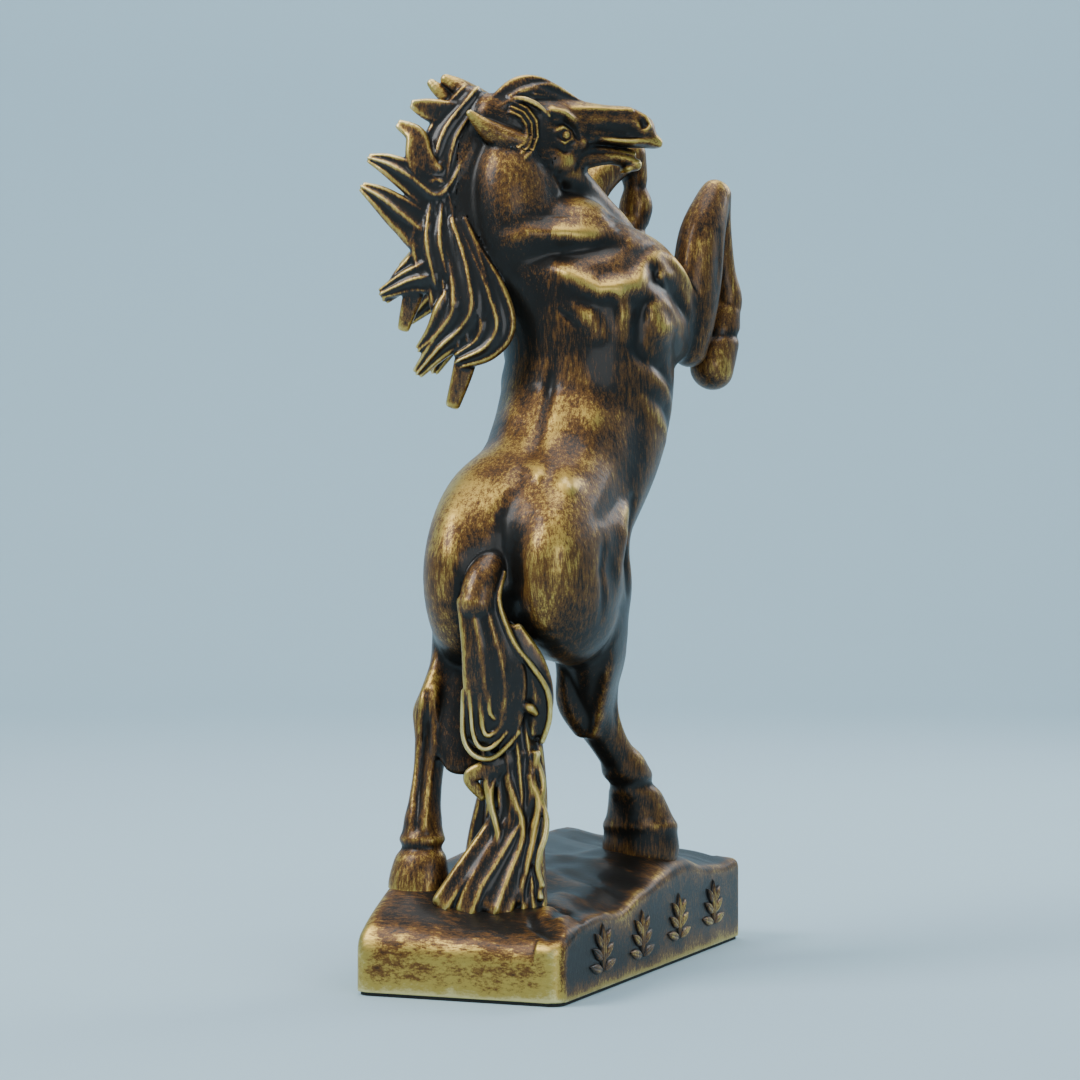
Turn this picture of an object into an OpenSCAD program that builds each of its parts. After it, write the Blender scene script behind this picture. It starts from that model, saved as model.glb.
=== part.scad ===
// Rearing horse statue on a rocky plinth.
// Hollow castings in antiqued bronze, pinned together and bolted to the plinth.
// The horse faces +X, its left side is +Y, and the plinth rests on z = 0.
// Body places are given for a statue 396 mm tall and scaled by k.

/* [Overall size] */
// Height of the whole statue, from the table to the tip of the higher ear
statue_h = 396; // [356:5:436]

/* [Plinth] */
// Length of the plinth under a 396 mm statue, along the horse
plinth_l = 231; // [224:1:240]
// Width of the plinth under a 396 mm statue, across the horse
plinth_w = 92; // [90:1:96]
// Rounding of the plinth's shoulders
plinth_shoulder = 7; // [5:0.5:9]
// Height of the raised sprigs above the plinth's right face
relief_t = 1.6; // [1:0.1:2]

/* [Castings] */
// Wall of the hollow castings
cast_wall = 5; // [4.5:0.5:6]
// Play between a dowel or stud and its hole
pin_play = 0.2; // [0.1:0.05:0.3]

/* [Underside] */
// Thickness of the felt sheet that the statue rests on
felt_t = 1.5; // [1:0.5:2]
// Thickness of the board that closes the plinth
board_t = 5; // [4:0.5:6]
// Length of the screws that hold the board
screw_l = 14; // [12:1:16]

/* [Fixings] */
// Diameter of the studs under the hooves and the tail
stud_d = 6; // [5:1:6]
// Diameter of the dowels between the body castings
dowel_d = 6; // [5:1:7]

/* [Hidden] */
k = statue_h / 396;
bronze = [0.55, 0.43, 0.16];
dark_bronze = [0.30, 0.23, 0.10];
steel = [0.62, 0.64, 0.66];
across = [0, 1, 0];
along = [1, 0, 0];
upward = [0, 0, 1];

// Each station of a stroke is [x, y, z, half width, half depth].
BARREL = [[-34, 1, 156, 22, 24], [-24, 0, 186, 33, 33], [-2, -1, 211, 36.5, 37],
          [19, -2, 236, 38, 39.5], [27, -3, 262, 38, 41], [26, -2, 288, 37, 40],
          [22, 2, 306, 30, 34], [19, 3, 318, 23, 27]];
CHEST = [[30, -6, 262, 24, 26], [44, -6, 286, 31, 22], [46, -4, 304, 28, 18]];
BREAST = [[46, -4, 298, 26, 18], [50, 1, 320, 19, 17], [44, 5, 334, 14, 13],
          [30, 8, 346, 11, 11], [16, 9, 354, 9, 9]];
RIGHT_SHOULDER = [[22, -20, 312, 8, 16], [36, -28, 304, 12, 19], [50, -33, 290, 11, 16],
                  [52, -33, 276, 8, 12]];
LEFT_SHOULDER = [[24, 20, 312, 8, 16], [38, 24, 308, 12, 19], [52, 25, 298, 11, 16],
                 [56, 24, 284, 8, 12]];
RIGHT_HAUNCH = [[-14, -13, 214, 15, 15], [-28, -17, 196, 19, 28], [-40, -20, 172, 20, 39],
                [-34, -20, 154, 18, 31], [-24, -20, 149, 15, 22]];
LEFT_HAUNCH = [[-16, 15, 214, 16, 15], [-32, 19, 197, 21, 28], [-42, 19, 172, 22, 40],
               [-40, 20, 153, 19, 31], [-38, 23, 144, 15, 22]];
GROIN = [[-6, 0, 196, 30, 28], [-8, 0, 174, 25, 23], [-12, 0, 160, 17, 17]];
CROUP = [[0, 1, 222, 20, 22], [-22, 1, 206, 25, 26], [-42, 1, 184, 22, 30], [-44, 1, 160, 18, 26]];
RIGHT_STIFLE = [[-6, -24, 184, 6, 9], [-3, -24.5, 168, 8.5, 15], [-8, -23, 150, 9, 15]];
LEFT_STIFLE = [[-6, 25, 184, 6, 9], [-4, 27, 168, 9, 15], [-14, 28, 150, 10, 15]];

NECK = [[26, 0, 288, 33, 36], [15, 16, 313, 26, 34], [8, 21, 330, 20, 29],
        [3.5, 22.5, 347, 15.5, 25], [1, 26, 362, 12.5, 19.5], [6, 27, 372, 11, 14]];

SKULL = [[-1, 33, 377, 9, 11], [7, 25, 372, 13, 17.5], [17, 14, 369, 13.5, 18.5],
         [27, 3, 371, 11, 15], [36, -7, 372.5, 9, 11.5], [45, -17, 372.5, 8.5, 10],
         [51, -24, 369.5, 7.5, 7.5]];
JAW = [[14, 16, 360, 8, 9], [25, 5, 361, 7, 6.5], [36, -8, 362.5, 5.5, 4],
       [45, -17, 362, 5, 3.2], [49, -22, 360.5, 4.5, 3.6]];

RIGHT_FORELEG = [[66, -37, 274, 8, 10], [68, -38, 288, 10, 13], [71, -39, 306, 11, 14],
                 [75, -40, 326, 10.5, 12], [83, -42, 342, 8, 8.5], [86, -42.5, 348, 6, 6]];
RIGHT_FORE_CANNON = [[87, -43, 346, 7, 7.5], [91, -43.5, 332, 5.5, 6], [95, -44.5, 312, 5.2, 6],
                     [97, -45, 299, 7, 7], [94, -45, 290, 6, 6]];
RIGHT_FORE_HOOF = [[94, -45, 292, 7, 7], [91, -44, 280, 8.5, 9.5], [85, -41.5, 266, 10, 11]];
LEFT_FORELEG = [[54, 22, 306, 11, 14], [62, 18, 332, 9.5, 12], [73, 12, 352, 8, 9],
                [86, 6, 364, 8, 8], [93, 2, 368, 7, 7]];
LEFT_FORE_CANNON = [[94, 2, 368, 7.5, 8], [97, 1, 358, 6.3, 6.5], [98, 1, 352, 6, 6.5],
                    [99, 1, 344, 9, 8.5], [98, 2, 336, 7, 7]];
LEFT_FORE_HOOF = [[98, 2, 337, 7.5, 7.5], [94, 4, 328, 9, 9], [88, 6, 318, 11, 10]];

RIGHT_HIND_LEG = [[-20, -20, 158, 14, 26], [-11, -20, 140, 13.5, 20], [-6, -18, 124, 10.5, 15],
                  [-1, -17, 111, 10, 11], [6, -19.5, 100, 8.3, 8.5], [12, -22, 92, 8.2, 8.2],
                  [17, -24, 85, 10.5, 10.5], [23, -25, 77, 10, 10]];
RIGHT_HOCK = [[-24, -13, 152, 8, 10], [-20, -11.5, 132, 5, 7], [-16, -11, 117, 6, 6.5],
              [-7, -14, 107, 6, 7]];
RIGHT_HIND_HOOF = [[22, -25, 80, 10, 10], [27, -25.5, 70, 12, 12.5], [31, -26, 58, 14.5, 16],
                   [32, -26, 50, 15, 17]];
LEFT_HIND_LEG = [[-34, 26, 156, 14, 24], [-40, 29, 142, 12, 19], [-46, 31.5, 130, 9.5, 14],
                 [-55, 33.5, 118, 8.5, 11], [-61, 34, 106, 7.5, 8.5], [-66, 34, 90, 6.3, 7],
                 [-70, 34, 76, 6.8, 7.5], [-72, 34, 67, 8, 9], [-74, 33.5, 60, 7.5, 8]];
LEFT_HOCK = [[-50, 31, 142, 6, 8], [-57, 33, 130, 4.5, 6], [-64, 34, 117, 5.5, 6.5],
             [-62, 34, 107, 5.5, 6]];
LEFT_HIND_HOOF = [[-73, 33.5, 63, 8, 8.5], [-76, 33, 53, 9.5, 11], [-78, 33, 44, 10.5, 13],
                  [-78.5, 33, 37, 11, 14]];
LEG_WEB = [[-48, 24, 138, 7, 11], [-58, 22, 118, 6, 11], [-64, 20, 100, 5, 9], [-66, 19, 92, 4, 7]];

RIGHT_EAR = [[0, 17, 368, 6, 5.5], [-5, 22, 367, 6.5, 5.5], [-11, 29, 369, 5, 4.5],
             [-15, 37, 375, 1.5, 1.5]];
LEFT_EAR = [[10, 34, 380, 7, 3.5], [4, 41, 385.5, 7.5, 3.5], [-1, 48, 390.5, 5, 3],
            [-4, 54, 394, 2, 2]];
FORELOCK_STROKES = [
    [[-5, 28, 380, 6, 5], [4, 22, 385, 9, 5], [14, 13, 384, 9, 5], [24, 4, 380, 4, 3]],
    [[-1, 20, 383, 4, 4], [6, 12, 378, 4, 4], [7, 9, 368, 4, 4], [1, 15, 359, 3, 3]]
];

// Hair is drawn on the plane that faces HAIR_FACE. A lock is [half thickness,
// [half width at its root, middle and tip], route], and a point of its route is
// [out, up, layer]: out towards the horse's left rear, up, and forward through the mane.
MANE_UPPER = [
    [6, [7, 10, 10], [[35, 381, 15], [44, 364, 11], [46, 345, 8], [45, 331, 5]]],
    [5, [7, 5, 2], [[36, 378, 13], [48, 376, 12], [58, 379, 10], [66, 382, 10]]],
    [5, [5, 6, 2], [[41, 365, 10], [49, 350, 6], [58, 350, 5], [63, 362, 8], [72, 371, 10]]],
    [5, [5, 7, 2], [[41, 356, 10], [48, 343, 5], [56, 341, 4], [70, 350, 6], [84, 357, 9]]],
    [5, [5, 8, 2], [[45, 338, 8], [49, 326, 4], [57, 323, 2], [70, 333, 4], [87, 344, 8]]],
    [5, [6, 6, 2], [[42, 370, 20], [55, 366, 27], [68, 361, 30]]],
    [5, [7, 6, 2], [[44, 352, 18], [58, 345, 28], [72, 337, 31]]]
];
MANE_MIDDLE = [
    [6, [10, 12, 11], [[45, 335, 6], [46, 318, 1], [44, 304, -2]]],
    [5, [6, 6, 2], [[46, 326, 2], [55, 320, 0], [63, 319, 0], [72, 322, 3]]],
    [5, [6, 7, 2], [[44, 324, 4], [47, 311, 0], [56, 303, -2], [67, 300, -2], [78, 296, 2]]],
    [5, [6, 6, 2], [[46, 318, 4], [58, 312, 2], [68, 305, 2], [76, 294, 4]]],
    [5, [6, 6, 3], [[49, 304, 0], [60, 298, 0], [66, 288, 1], [69, 278, 3]]],
    [5, [8, 6, 2], [[44, 324, 8], [56, 318, 22], [71, 310, 29]]]
];
MANE_LOWER = [
    [6, [10, 12, 9], [[44, 307, -2], [40, 290, -5], [35, 272, -7]]],
    [5, [6, 7, 2], [[42, 309, -2], [43, 295, -6], [49, 284, -7], [54, 276, -6], [62, 270, -3]]],
    [5, [6, 9, 2], [[38, 311, -2], [32, 297, -6], [34, 283, -8], [44, 274, -8], [54, 266, -6],
                    [62, 258, -3]]],
    [5, [5, 9, 3], [[33, 302, -4], [26, 291, -8], [26, 278, -10], [32, 267, -10], [42, 262, -8]]],
    [5, [6, 5, 4], [[36, 272, -8], [41, 259, -8], [47, 245, -6]]],
    [6, [8, 6, 2], [[39, 304, -1], [54, 298, 14], [68, 286, 21]]],
    [5, [7, 6, 2], [[40, 297, 2], [48, 280, 9], [57, 262, 13]]]
];
TAIL_UPPER = [
    [5, [6, 6, 8], [[26, 178, -44], [29, 176, -57], [33, 171, -69], [36, 160, -75]]],
    [6.5, [9, 17, 11], [[36, 160, -75], [29, 144, -75], [23, 128, -73], [23, 114, -70],
                        [26, 102, -67]]],
    [3.5, [5, 5, 3], [[16, 140, -70], [8, 126, -70], [7, 113, -69], [12, 102, -67]]],
    [9, [10, 13, 13], [[24, 145, -62], [24, 125, -58], [23, 108, -56]]]
];
TAIL_LOWER = [
    [12, [13, 14, 18], [[22, 108, -65], [24, 93, -63], [23, 78, -65], [26, 60, -69],
                        [30, 45, -73], [31, 32, -76]]],
    [8.5, [12, 12, 10], [[23, 108, -56], [23, 94, -56], [23, 80, -58]]]
];
// The mane and tail lie flat to this direction, back and a little to the left.
HAIR_FACE = [0.93, 0.37, 0];
HAIR_OUT = [-0.37, 0.93, 0];
// The turned head is narrow along this direction, and the left ear along the next.
HEAD_FACE = [-0.74, -0.67, 0];
LEFT_EAR_FACE = [0.5, 0.5, 0.7];

// Mounting points of the hooves and the tail: x, y and the seat's height inside the plinth.
STUDS = [[31, -26, 45], [-77.5, 33, 34], [-80, 0, 30]];
stud_down = 13;
stud_up = 22;
washer_t = 1.6;
nut_t = 5;
boss_r = 9;
BOARD_SCREWS = [[-98, -26], [-98, 18], [98, -28], [98, 28]];
screw_boss_r = 5.5;
screw_r = 1.7;
screw_head_r = 4;
screw_head_h = 2.2;
screw_play = 0.2;
// Dowels: each is [one end, other end] in the same places as the strokes.
NECK_DOWELS = [[[2, 14, 302], [-6, 28, 332]], [[36, -2, 318], [18, 12, 342]]];
FORELEG_DOWELS = [[[50, -32, 288], [70, -38, 300]], [[46, 22, 304], [63, 14, 328]]];
HIND_LEG_DOWELS = [[[-24, -20, 158], [-9, -20, 132]], [[-38, 22, 158], [-44, 30, 134]]];
TAIL_DOWELS = [[[-52, 6, 179], [-76, 4, 172.5]]];

function unit(v) = v / norm(v);
function mix(a, b, t) = a * (1 - t) + b * t;
function bell(t) = exp(-t * t);

// Catmull-Rom curve through the stations: position and section together.
function spline(p, i, t) =
    let (a = p[max(i - 1, 0)], b = p[i], c = p[i + 1], d = p[min(i + 2, len(p) - 1)])
    0.5 * (2 * b + (c - a) * t + (2 * a - 5 * b + 4 * c - d) * t * t
           + (3 * b - a - 3 * c + d) * t * t * t);
function curve(p, steps) = concat(
    [for (i = [0:len(p) - 2]) for (s = [0:steps - 1]) spline(p, i, s / steps)],
    [p[len(p) - 1]]);
function place(s) = [s[0], s[1], s[2]];
function heading(c, i) = unit(place(c[min(i + 1, len(c) - 1)]) - place(c[max(i - 1, 0)]));

// One ring of the skin: an ellipse square to the heading, its width along the side.
function ring(centre, dir, side, w, d, sides) =
    let (s = unit(side - dir * (side * dir)), n = cross(dir, s))
    [for (j = [0:sides - 1]) k * (centre + s * w * cos(360 * j / sides) + n * d * sin(360 * j / sides))];

// Stations of a lock: its route placed in the statue, with its width even on each side of
// the middle and its thickness following the width.
function hair_place(p) = p[0] * HAIR_OUT + p[2] * HAIR_FACE + [0, 0, p[1]];
function lock_width(w, t) = t < 0.5 ? mix(w[0], w[1], 2 * t) : mix(w[1], w[2], 2 * t - 1);
function lock_stations(lock) =
    let (thick = lock[0], w = lock[1], route = lock[2], last = len(route) - 1)
    [for (i = [0:last])
        let (wide = lock_width(w, i / last))
        concat(hair_place(route[i]), [thick * sqrt(wide / max(w)), wide])];

// Rings of the domed cap that closes a stroke, from its rim out to its tip.
cap_angles = [25, 65];
cap_height = 0.6;
function cap_rings(s, dir, side, sides) =
    [for (a = cap_angles)
        ring(place(s) + dir * min(s[3], s[4]) * cap_height * sin(a), dir, side,
             s[3] * cos(a), s[4] * cos(a), sides)];

// Rings of a whole stroke: a cap, the rings along its curve, and a cap.
function reversed(list) = [for (i = [len(list) - 1:-1:0]) list[i]];
function stroke_rings(p, side0, side1, sides, steps) =
    let (c = curve(p, steps), last = len(c) - 1, h0 = heading(c, 0), h1 = heading(c, last))
    concat(
        [for (a = reversed(cap_angles))
            ring(place(c[0]) - h0 * min(c[0][3], c[0][4]) * cap_height * sin(a), h0, side0,
                 c[0][3] * cos(a), c[0][4] * cos(a), sides)],
        [for (i = [0:last])
            ring(place(c[i]), heading(c, i), mix(side0, side1, i / last), c[i][3], c[i][4], sides)],
        cap_rings(c[last], h1, side1, sides));

// Closed skin over a list of rings that all have the same number of points.
module skin(rings) {
    n = len(rings[0]);
    polyhedron(
        points = [for (r = rings) each r],
        faces = concat(
            [[for (j = [0:n - 1]) j]],
            [for (i = [0:len(rings) - 2]) for (j = [0:n - 1])
                [i * n + j, (i + 1) * n + j, (i + 1) * n + (j + 1) % n]],
            [for (i = [0:len(rings) - 2]) for (j = [0:n - 1])
                [i * n + j, (i + 1) * n + (j + 1) % n, i * n + (j + 1) % n]],
            [[for (j = [n - 1:-1:0]) (len(rings) - 1) * n + j]]));
}

module stroke(p, side0 = across, side1 = across, sides = 14, steps = 3) {
    skin(stroke_rings(p, side0, side1, sides, steps));
}

// A round bar between two places, and the hole that takes it.
module bar(ends, r) {
    a = ends[0] * k;
    v = ends[1] * k - a;
    translate(a)
        rotate([0, acos(v[2] / norm(v)), atan2(v[1], v[0])])
            cylinder(h = norm(v), r = r, $fn = 24);
}

module dowel_holes(list) {
    for (ends = list) bar(ends, dowel_d / 2 + pin_play);
}

// Joins strokes into one skin, as wax is joined before a casting is made.
module cast() {
    resize([0, 0, 0]) union() children();
}

// The foundry core that leaves the torso and the neck hollow, one wall inside the skin.
CORE = concat([for (i = [1:4]) BARREL[i] - [0, 0, 0, cast_wall / k, cast_wall / k]],
              [[27, -2, 284, 18, 22], [24, 3, 298, 13, 15], [16, 14, 315, 12, 15],
               [9, 20, 330, 10, 14], [6, 22, 342, 7, 9]]);
HAUNCH_CORES = [[[-22, -12, 196, 10, 16], [-35, -16, 174, 11, 28], [-32, -15, 158, 8, 18]],
                [[-24, 13, 196, 10, 16], [-36, 15, 174, 12, 28], [-34, 15, 158, 9, 18]]];

// Strokes of each casting, before its neighbours are taken away.
module torso_strokes() {
    stroke(BARREL, sides = 16);
    stroke(CHEST, steps = 2);
    stroke(BREAST, sides = 12, steps = 2);
    stroke(CROUP, steps = 2);
    stroke(GROIN, steps = 2);
    for (p = [RIGHT_HAUNCH, LEFT_HAUNCH]) stroke(p, steps = 2);
    for (p = [RIGHT_SHOULDER, LEFT_SHOULDER, RIGHT_STIFLE, LEFT_STIFLE])
        stroke(p, sides = 12, steps = 2);
}

module neck_strokes() {
    stroke(NECK, across, HAIR_FACE, sides = 16);
}

module head_strokes() {
    stroke(SKULL, HEAD_FACE, HEAD_FACE);
    stroke(JAW, HEAD_FACE, HEAD_FACE, sides = 10);
}

module core() {
    stroke(CORE, across, HAIR_FACE, sides = 10, steps = 2);
    for (p = HAUNCH_CORES) stroke(p, sides = 8, steps = 2);
}

module ear_strokes(p, side) {
    stroke(p, side, side, sides = 8);
}

module hair_strokes(locks) {
    for (lock = locks) stroke(lock_stations(lock), HAIR_FACE, HAIR_FACE, sides = 8, steps = 2);
}

module forelock_strokes() {
    for (p = FORELOCK_STROKES) stroke(p, -HEAD_FACE, -HEAD_FACE, sides = 8);
}

module right_fore_strokes() {
    stroke(RIGHT_FORELEG, sides = 12, steps = 2);
    stroke(RIGHT_FORE_CANNON, sides = 10, steps = 2);
    stroke(RIGHT_FORE_HOOF, sides = 10, steps = 2);
}

module left_fore_strokes() {
    stroke(LEFT_FORELEG, sides = 12, steps = 2);
    stroke(LEFT_FORE_CANNON, sides = 10, steps = 2);
    stroke(LEFT_FORE_HOOF, sides = 10, steps = 2);
}

module right_hind_strokes() {
    stroke(RIGHT_HIND_LEG, sides = 12, steps = 2);
    stroke(RIGHT_HOCK, sides = 8, steps = 2);
    stroke(RIGHT_HIND_HOOF, along, along, sides = 12, steps = 2);
}

module left_hind_strokes() {
    stroke(LEFT_HIND_LEG, sides = 12, steps = 2);
    stroke(LEFT_HOCK, sides = 8, steps = 2);
    stroke(LEFT_HIND_HOOF, along, along, sides = 12, steps = 2);
    stroke(LEG_WEB, HAIR_FACE, HAIR_FACE, sides = 8, steps = 2);
}

module torso() {
    color(bronze) cast() difference() {
        torso_strokes();
        core();
        dowel_holes(concat(NECK_DOWELS, FORELEG_DOWELS, HIND_LEG_DOWELS, TAIL_DOWELS));
    }
}

module neck() {
    color(bronze) cast() difference() {
        neck_strokes();
        torso_strokes();
        core();
        dowel_holes(NECK_DOWELS);
    }
}

module head() {
    color(bronze) cast() difference() {
        head_strokes();
        neck_strokes();
        core();
    }
}

module left_ear() {
    color(bronze) cast() difference() {
        ear_strokes(LEFT_EAR, LEFT_EAR_FACE);
        head_strokes();
        neck_strokes();
    }
}

module right_ear() {
    color(bronze) cast() difference() {
        ear_strokes(RIGHT_EAR, upward);
        head_strokes();
        neck_strokes();
    }
}

module forelock() {
    color(dark_bronze) cast() difference() {
        forelock_strokes();
        head_strokes();
        neck_strokes();
        ear_strokes(LEFT_EAR, LEFT_EAR_FACE);
        ear_strokes(RIGHT_EAR, upward);
    }
}

module mane_upper() {
    color(dark_bronze) cast() difference() {
        hair_strokes(MANE_UPPER);
        neck_strokes();
        head_strokes();
        ear_strokes(LEFT_EAR, LEFT_EAR_FACE);
        ear_strokes(RIGHT_EAR, upward);
        forelock_strokes();
    }
}

module mane_middle() {
    color(dark_bronze) cast() difference() {
        hair_strokes(MANE_MIDDLE);
        hair_strokes(MANE_UPPER);
        neck_strokes();
        torso_strokes();
    }
}

module mane_lower() {
    color(dark_bronze) cast() difference() {
        hair_strokes(MANE_LOWER);
        hair_strokes(MANE_MIDDLE);
        hair_strokes(MANE_UPPER);
        neck_strokes();
        torso_strokes();
    }
}

module right_foreleg() {
    color(bronze) cast() difference() {
        right_fore_strokes();
        torso_strokes();
        dowel_holes([FORELEG_DOWELS[0]]);
    }
}

module left_foreleg() {
    color(bronze) cast() difference() {
        left_fore_strokes();
        torso_strokes();
        neck_strokes();
        head_strokes();
        dowel_holes([FORELEG_DOWELS[1]]);
    }
}

module right_hind_leg() {
    color(bronze) cast() difference() {
        right_hind_strokes();
        torso_strokes();
        plinth_block();
        dowel_holes([HIND_LEG_DOWELS[0]]);
        stud_holes();
    }
}

module left_hind_leg() {
    color(bronze) cast() difference() {
        left_hind_strokes();
        torso_strokes();
        plinth_block();
        dowel_holes([HIND_LEG_DOWELS[1]]);
        stud_holes();
    }
}

module tail_upper() {
    color(dark_bronze) cast() difference() {
        hair_strokes(TAIL_UPPER);
        torso_strokes();
        left_hind_strokes();
        dowel_holes(TAIL_DOWELS);
    }
}

module tail_lower() {
    color(dark_bronze) cast() difference() {
        hair_strokes(TAIL_LOWER);
        hair_strokes(TAIL_UPPER);
        left_hind_strokes();
        plinth_block();
        stud_holes();
    }
}

// The plinth is a block with rounded corners and a rocky top that rises under the hooves.
half_l = plinth_l / 2;
half_w = plinth_w / 2;
corner_r = 5;
function hump(x, y, cx, cy, rx, ry) = bell((x - cx) / rx) * bell((y - cy) / ry);
function top_height(x, y) =
    24.5 + (12.5 + 0.15 * (y + 45)) * (1 - exp(-(x + 114) / 28))
    + 12 * hump(x, y, 33, -26, 27, 24) + 3 * hump(x, y, -79, 33, 20, 18)
    - 6 * hump(x, y, -48, -42, 22, 14) - 5 * hump(x, y, -46, -10, 16, 12);

// Points round the plinth, inset by a margin: arcs at the corners, even steps along the sides.
function plinth_edge(inset) =
    let (a = half_l - inset, b = half_w - inset, r = max(corner_r - inset, 1.5),
         corners = [[a - r, b - r, 0], [r - a, b - r, 90], [r - a, r - b, 180], [a - r, r - b, 270]],
         arcs = [for (c = corners) [for (t = [0:45:90])
                 [c[0] + r * cos(c[2] + t), c[1] + r * sin(c[2] + t)]]],
         counts = [12, 5, 12, 5])
    [for (q = [0:3]) each concat(arcs[q],
        [for (s = [1:counts[q] - 1]) mix(arcs[q][2], arcs[(q + 1) % 4][0], s / counts[q])])];

// Rings of the plinth's skin; drop lowers the top, for the hollow inside.
function plinth_rings(inset, base, drop) =
    let (edge = plinth_edge(inset), shrink = [0.84, 0.64, 0.42, 0.2],
         shoulder = function(p) p[1] < -half_w + inset + 2 ? 2.5 : plinth_shoulder)
    concat(
        [[for (p = edge) k * [p[0], p[1], base]]],
        [for (a = [0:45:90]) [for (p = edge)
            let (r = shoulder(p), q = p * (1 - r * (1 - cos(a)) / norm(p)))
            k * [q[0], q[1], top_height(q[0], q[1]) - drop - r * (1 - sin(a))]]],
        [for (f = shrink) [for (p = edge)
            k * [p[0] * f, p[1] * f, top_height(p[0] * f, p[1] * f) - drop]]]);

module plinth_block() {
    skin(plinth_rings(0, felt_t / k, 0));
}

module stud_holes() {
    for (s = STUDS)
        translate([k * s[0], k * s[1], k * s[2] - stud_down])
            cylinder(h = stud_down + stud_up, r = stud_d / 2 + pin_play, $fn = 24);
}

module bosses() {
    for (s = STUDS)
        translate([k * s[0], k * s[1], k * s[2]])
            cylinder(h = 40, r = boss_r, $fn = 24);
    for (s = BOARD_SCREWS)
        translate([k * s[0], k * s[1], felt_t + board_t])
            cylinder(h = 60, r = screw_boss_r, $fn = 24);
}

module plinth() {
    color(bronze) cast() difference() {
        plinth_block();
        difference() {
            skin(plinth_rings(cast_wall / k, 0, cast_wall / k));
            bosses();
        }
        stud_holes();
        for (s = BOARD_SCREWS)
            translate([k * s[0], k * s[1], 0])
                cylinder(h = felt_t + screw_l + 0.5, r = screw_r + 0.05, $fn = 16);
    }
}

// One leaf of a sprig: the part that two circles share, standing on its point.
module leaf(long, wide) {
    r = (long * long + wide * wide) / (4 * wide);
    translate([0, long / 2])
        intersection() {
            translate([r - wide / 2, 0]) circle(r = r, $fn = 64);
            translate([wide / 2 - r, 0]) circle(r = r, $fn = 64);
        }
}

module sprig() {
    leaf(21, 5.5);
    for (side = [-1, 1])
        for (step = [0:2])
            translate([0, 1 + 4.5 * step])
                rotate(-side * (78 - 14 * step))
                    translate([0, 1.5])
                        leaf(14 - 2 * step, 4);
}

SPRIG_X = [-68, -22, 25, 72];
SPRIG_Z = [8, 8, 10, 11];
module plinth_relief() {
    color(bronze)
        for (i = [0:3])
            translate([k * SPRIG_X[i], -k * half_w, k * SPRIG_Z[i]])
                rotate([90, 0, 0])
                    linear_extrude(relief_t)
                        scale(k) sprig();
}

// A plate cut to the plinth's outline, with rounded corners.
module plinth_plate(inset, thick) {
    a = k * half_l - inset;
    b = k * half_w - inset;
    r = 6;
    linear_extrude(thick)
        union() {
            square([2 * (a - r), 2 * b], center = true);
            square([2 * a, 2 * (b - r)], center = true);
            for (x = [r - a, a - r])
                for (y = [r - b, b - r])
                    translate([x, y]) circle(r = r, $fn = 48);
        }
}

module base_felt() {
    color("darkgreen") plinth_plate(1, felt_t);
}

module base_board() {
    color("burlywood")
        translate([0, 0, felt_t])
            difference() {
                plinth_plate(cast_wall + 0.6, board_t);
                for (s = BOARD_SCREWS)
                    translate([k * s[0], k * s[1], 0]) {
                        translate([0, 0, -1])
                            cylinder(h = board_t + 2, r = screw_r + screw_play, $fn = 24);
                        translate([0, 0, -0.01])
                            cylinder(h = screw_head_h, r1 = screw_head_r + screw_play,
                                     r2 = screw_r + screw_play, $fn = 24);
                    }
            }
}

module board_screws() {
    color(steel)
        for (s = BOARD_SCREWS)
            translate([k * s[0], k * s[1], felt_t]) {
                cylinder(h = screw_head_h, r1 = screw_head_r, r2 = screw_r, $fn = 24);
                cylinder(h = screw_l, r = screw_r, $fn = 24);
            }
}

module mounting_studs() {
    color(steel)
        for (s = STUDS)
            translate([k * s[0], k * s[1], k * s[2] - stud_down + 1])
                cylinder(h = stud_down + stud_up - 2, r = stud_d / 2, $fn = 32);
}

module stud_washers() {
    color(steel)
        for (s = STUDS)
            translate([k * s[0], k * s[1], k * s[2] - washer_t])
                difference() {
                    cylinder(h = washer_t, r = stud_d, $fn = 48);
                    translate([0, 0, -1]) cylinder(h = washer_t + 2, r = stud_d / 2 + pin_play, $fn = 32);
                }
}

module stud_nuts() {
    color(steel)
        for (s = STUDS)
            translate([k * s[0], k * s[1], k * s[2] - washer_t - nut_t])
                difference() {
                    cylinder(h = nut_t, r = stud_d * 0.95, $fn = 6);
                    translate([0, 0, -1]) cylinder(h = nut_t + 2, r = stud_d / 2 + 0.02, $fn = 32);
                }
}

module dowels(list) {
    color(steel)
        for (ends = list) bar(ends, dowel_d / 2);
}

plinth();
plinth_relief();
base_board();
base_felt();
board_screws();
mounting_studs();
stud_washers();
stud_nuts();
torso();
neck();
head();
left_ear();
right_ear();
forelock();
mane_upper();
mane_middle();
mane_lower();
right_foreleg();
left_foreleg();
right_hind_leg();
left_hind_leg();
tail_upper();
tail_lower();
dowels(NECK_DOWELS);  // neck_dowels
dowels(FORELEG_DOWELS);  // foreleg_dowels
dowels(HIND_LEG_DOWELS);  // hind_leg_dowels
dowels(TAIL_DOWELS);  // tail_dowel
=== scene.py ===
"""Rearing horse statue in antiqued bronze: sculpted castings, patina and a studio set.

The castings are modelled in clay. A block of space is filled with signed distances, strokes are
blended into it, relief is pressed into its skin, and the skin is then cut into the castings.
Clay is worked in millimetres at a statue height of 396 mm and scaled to the frame.
"""

import math

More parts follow.
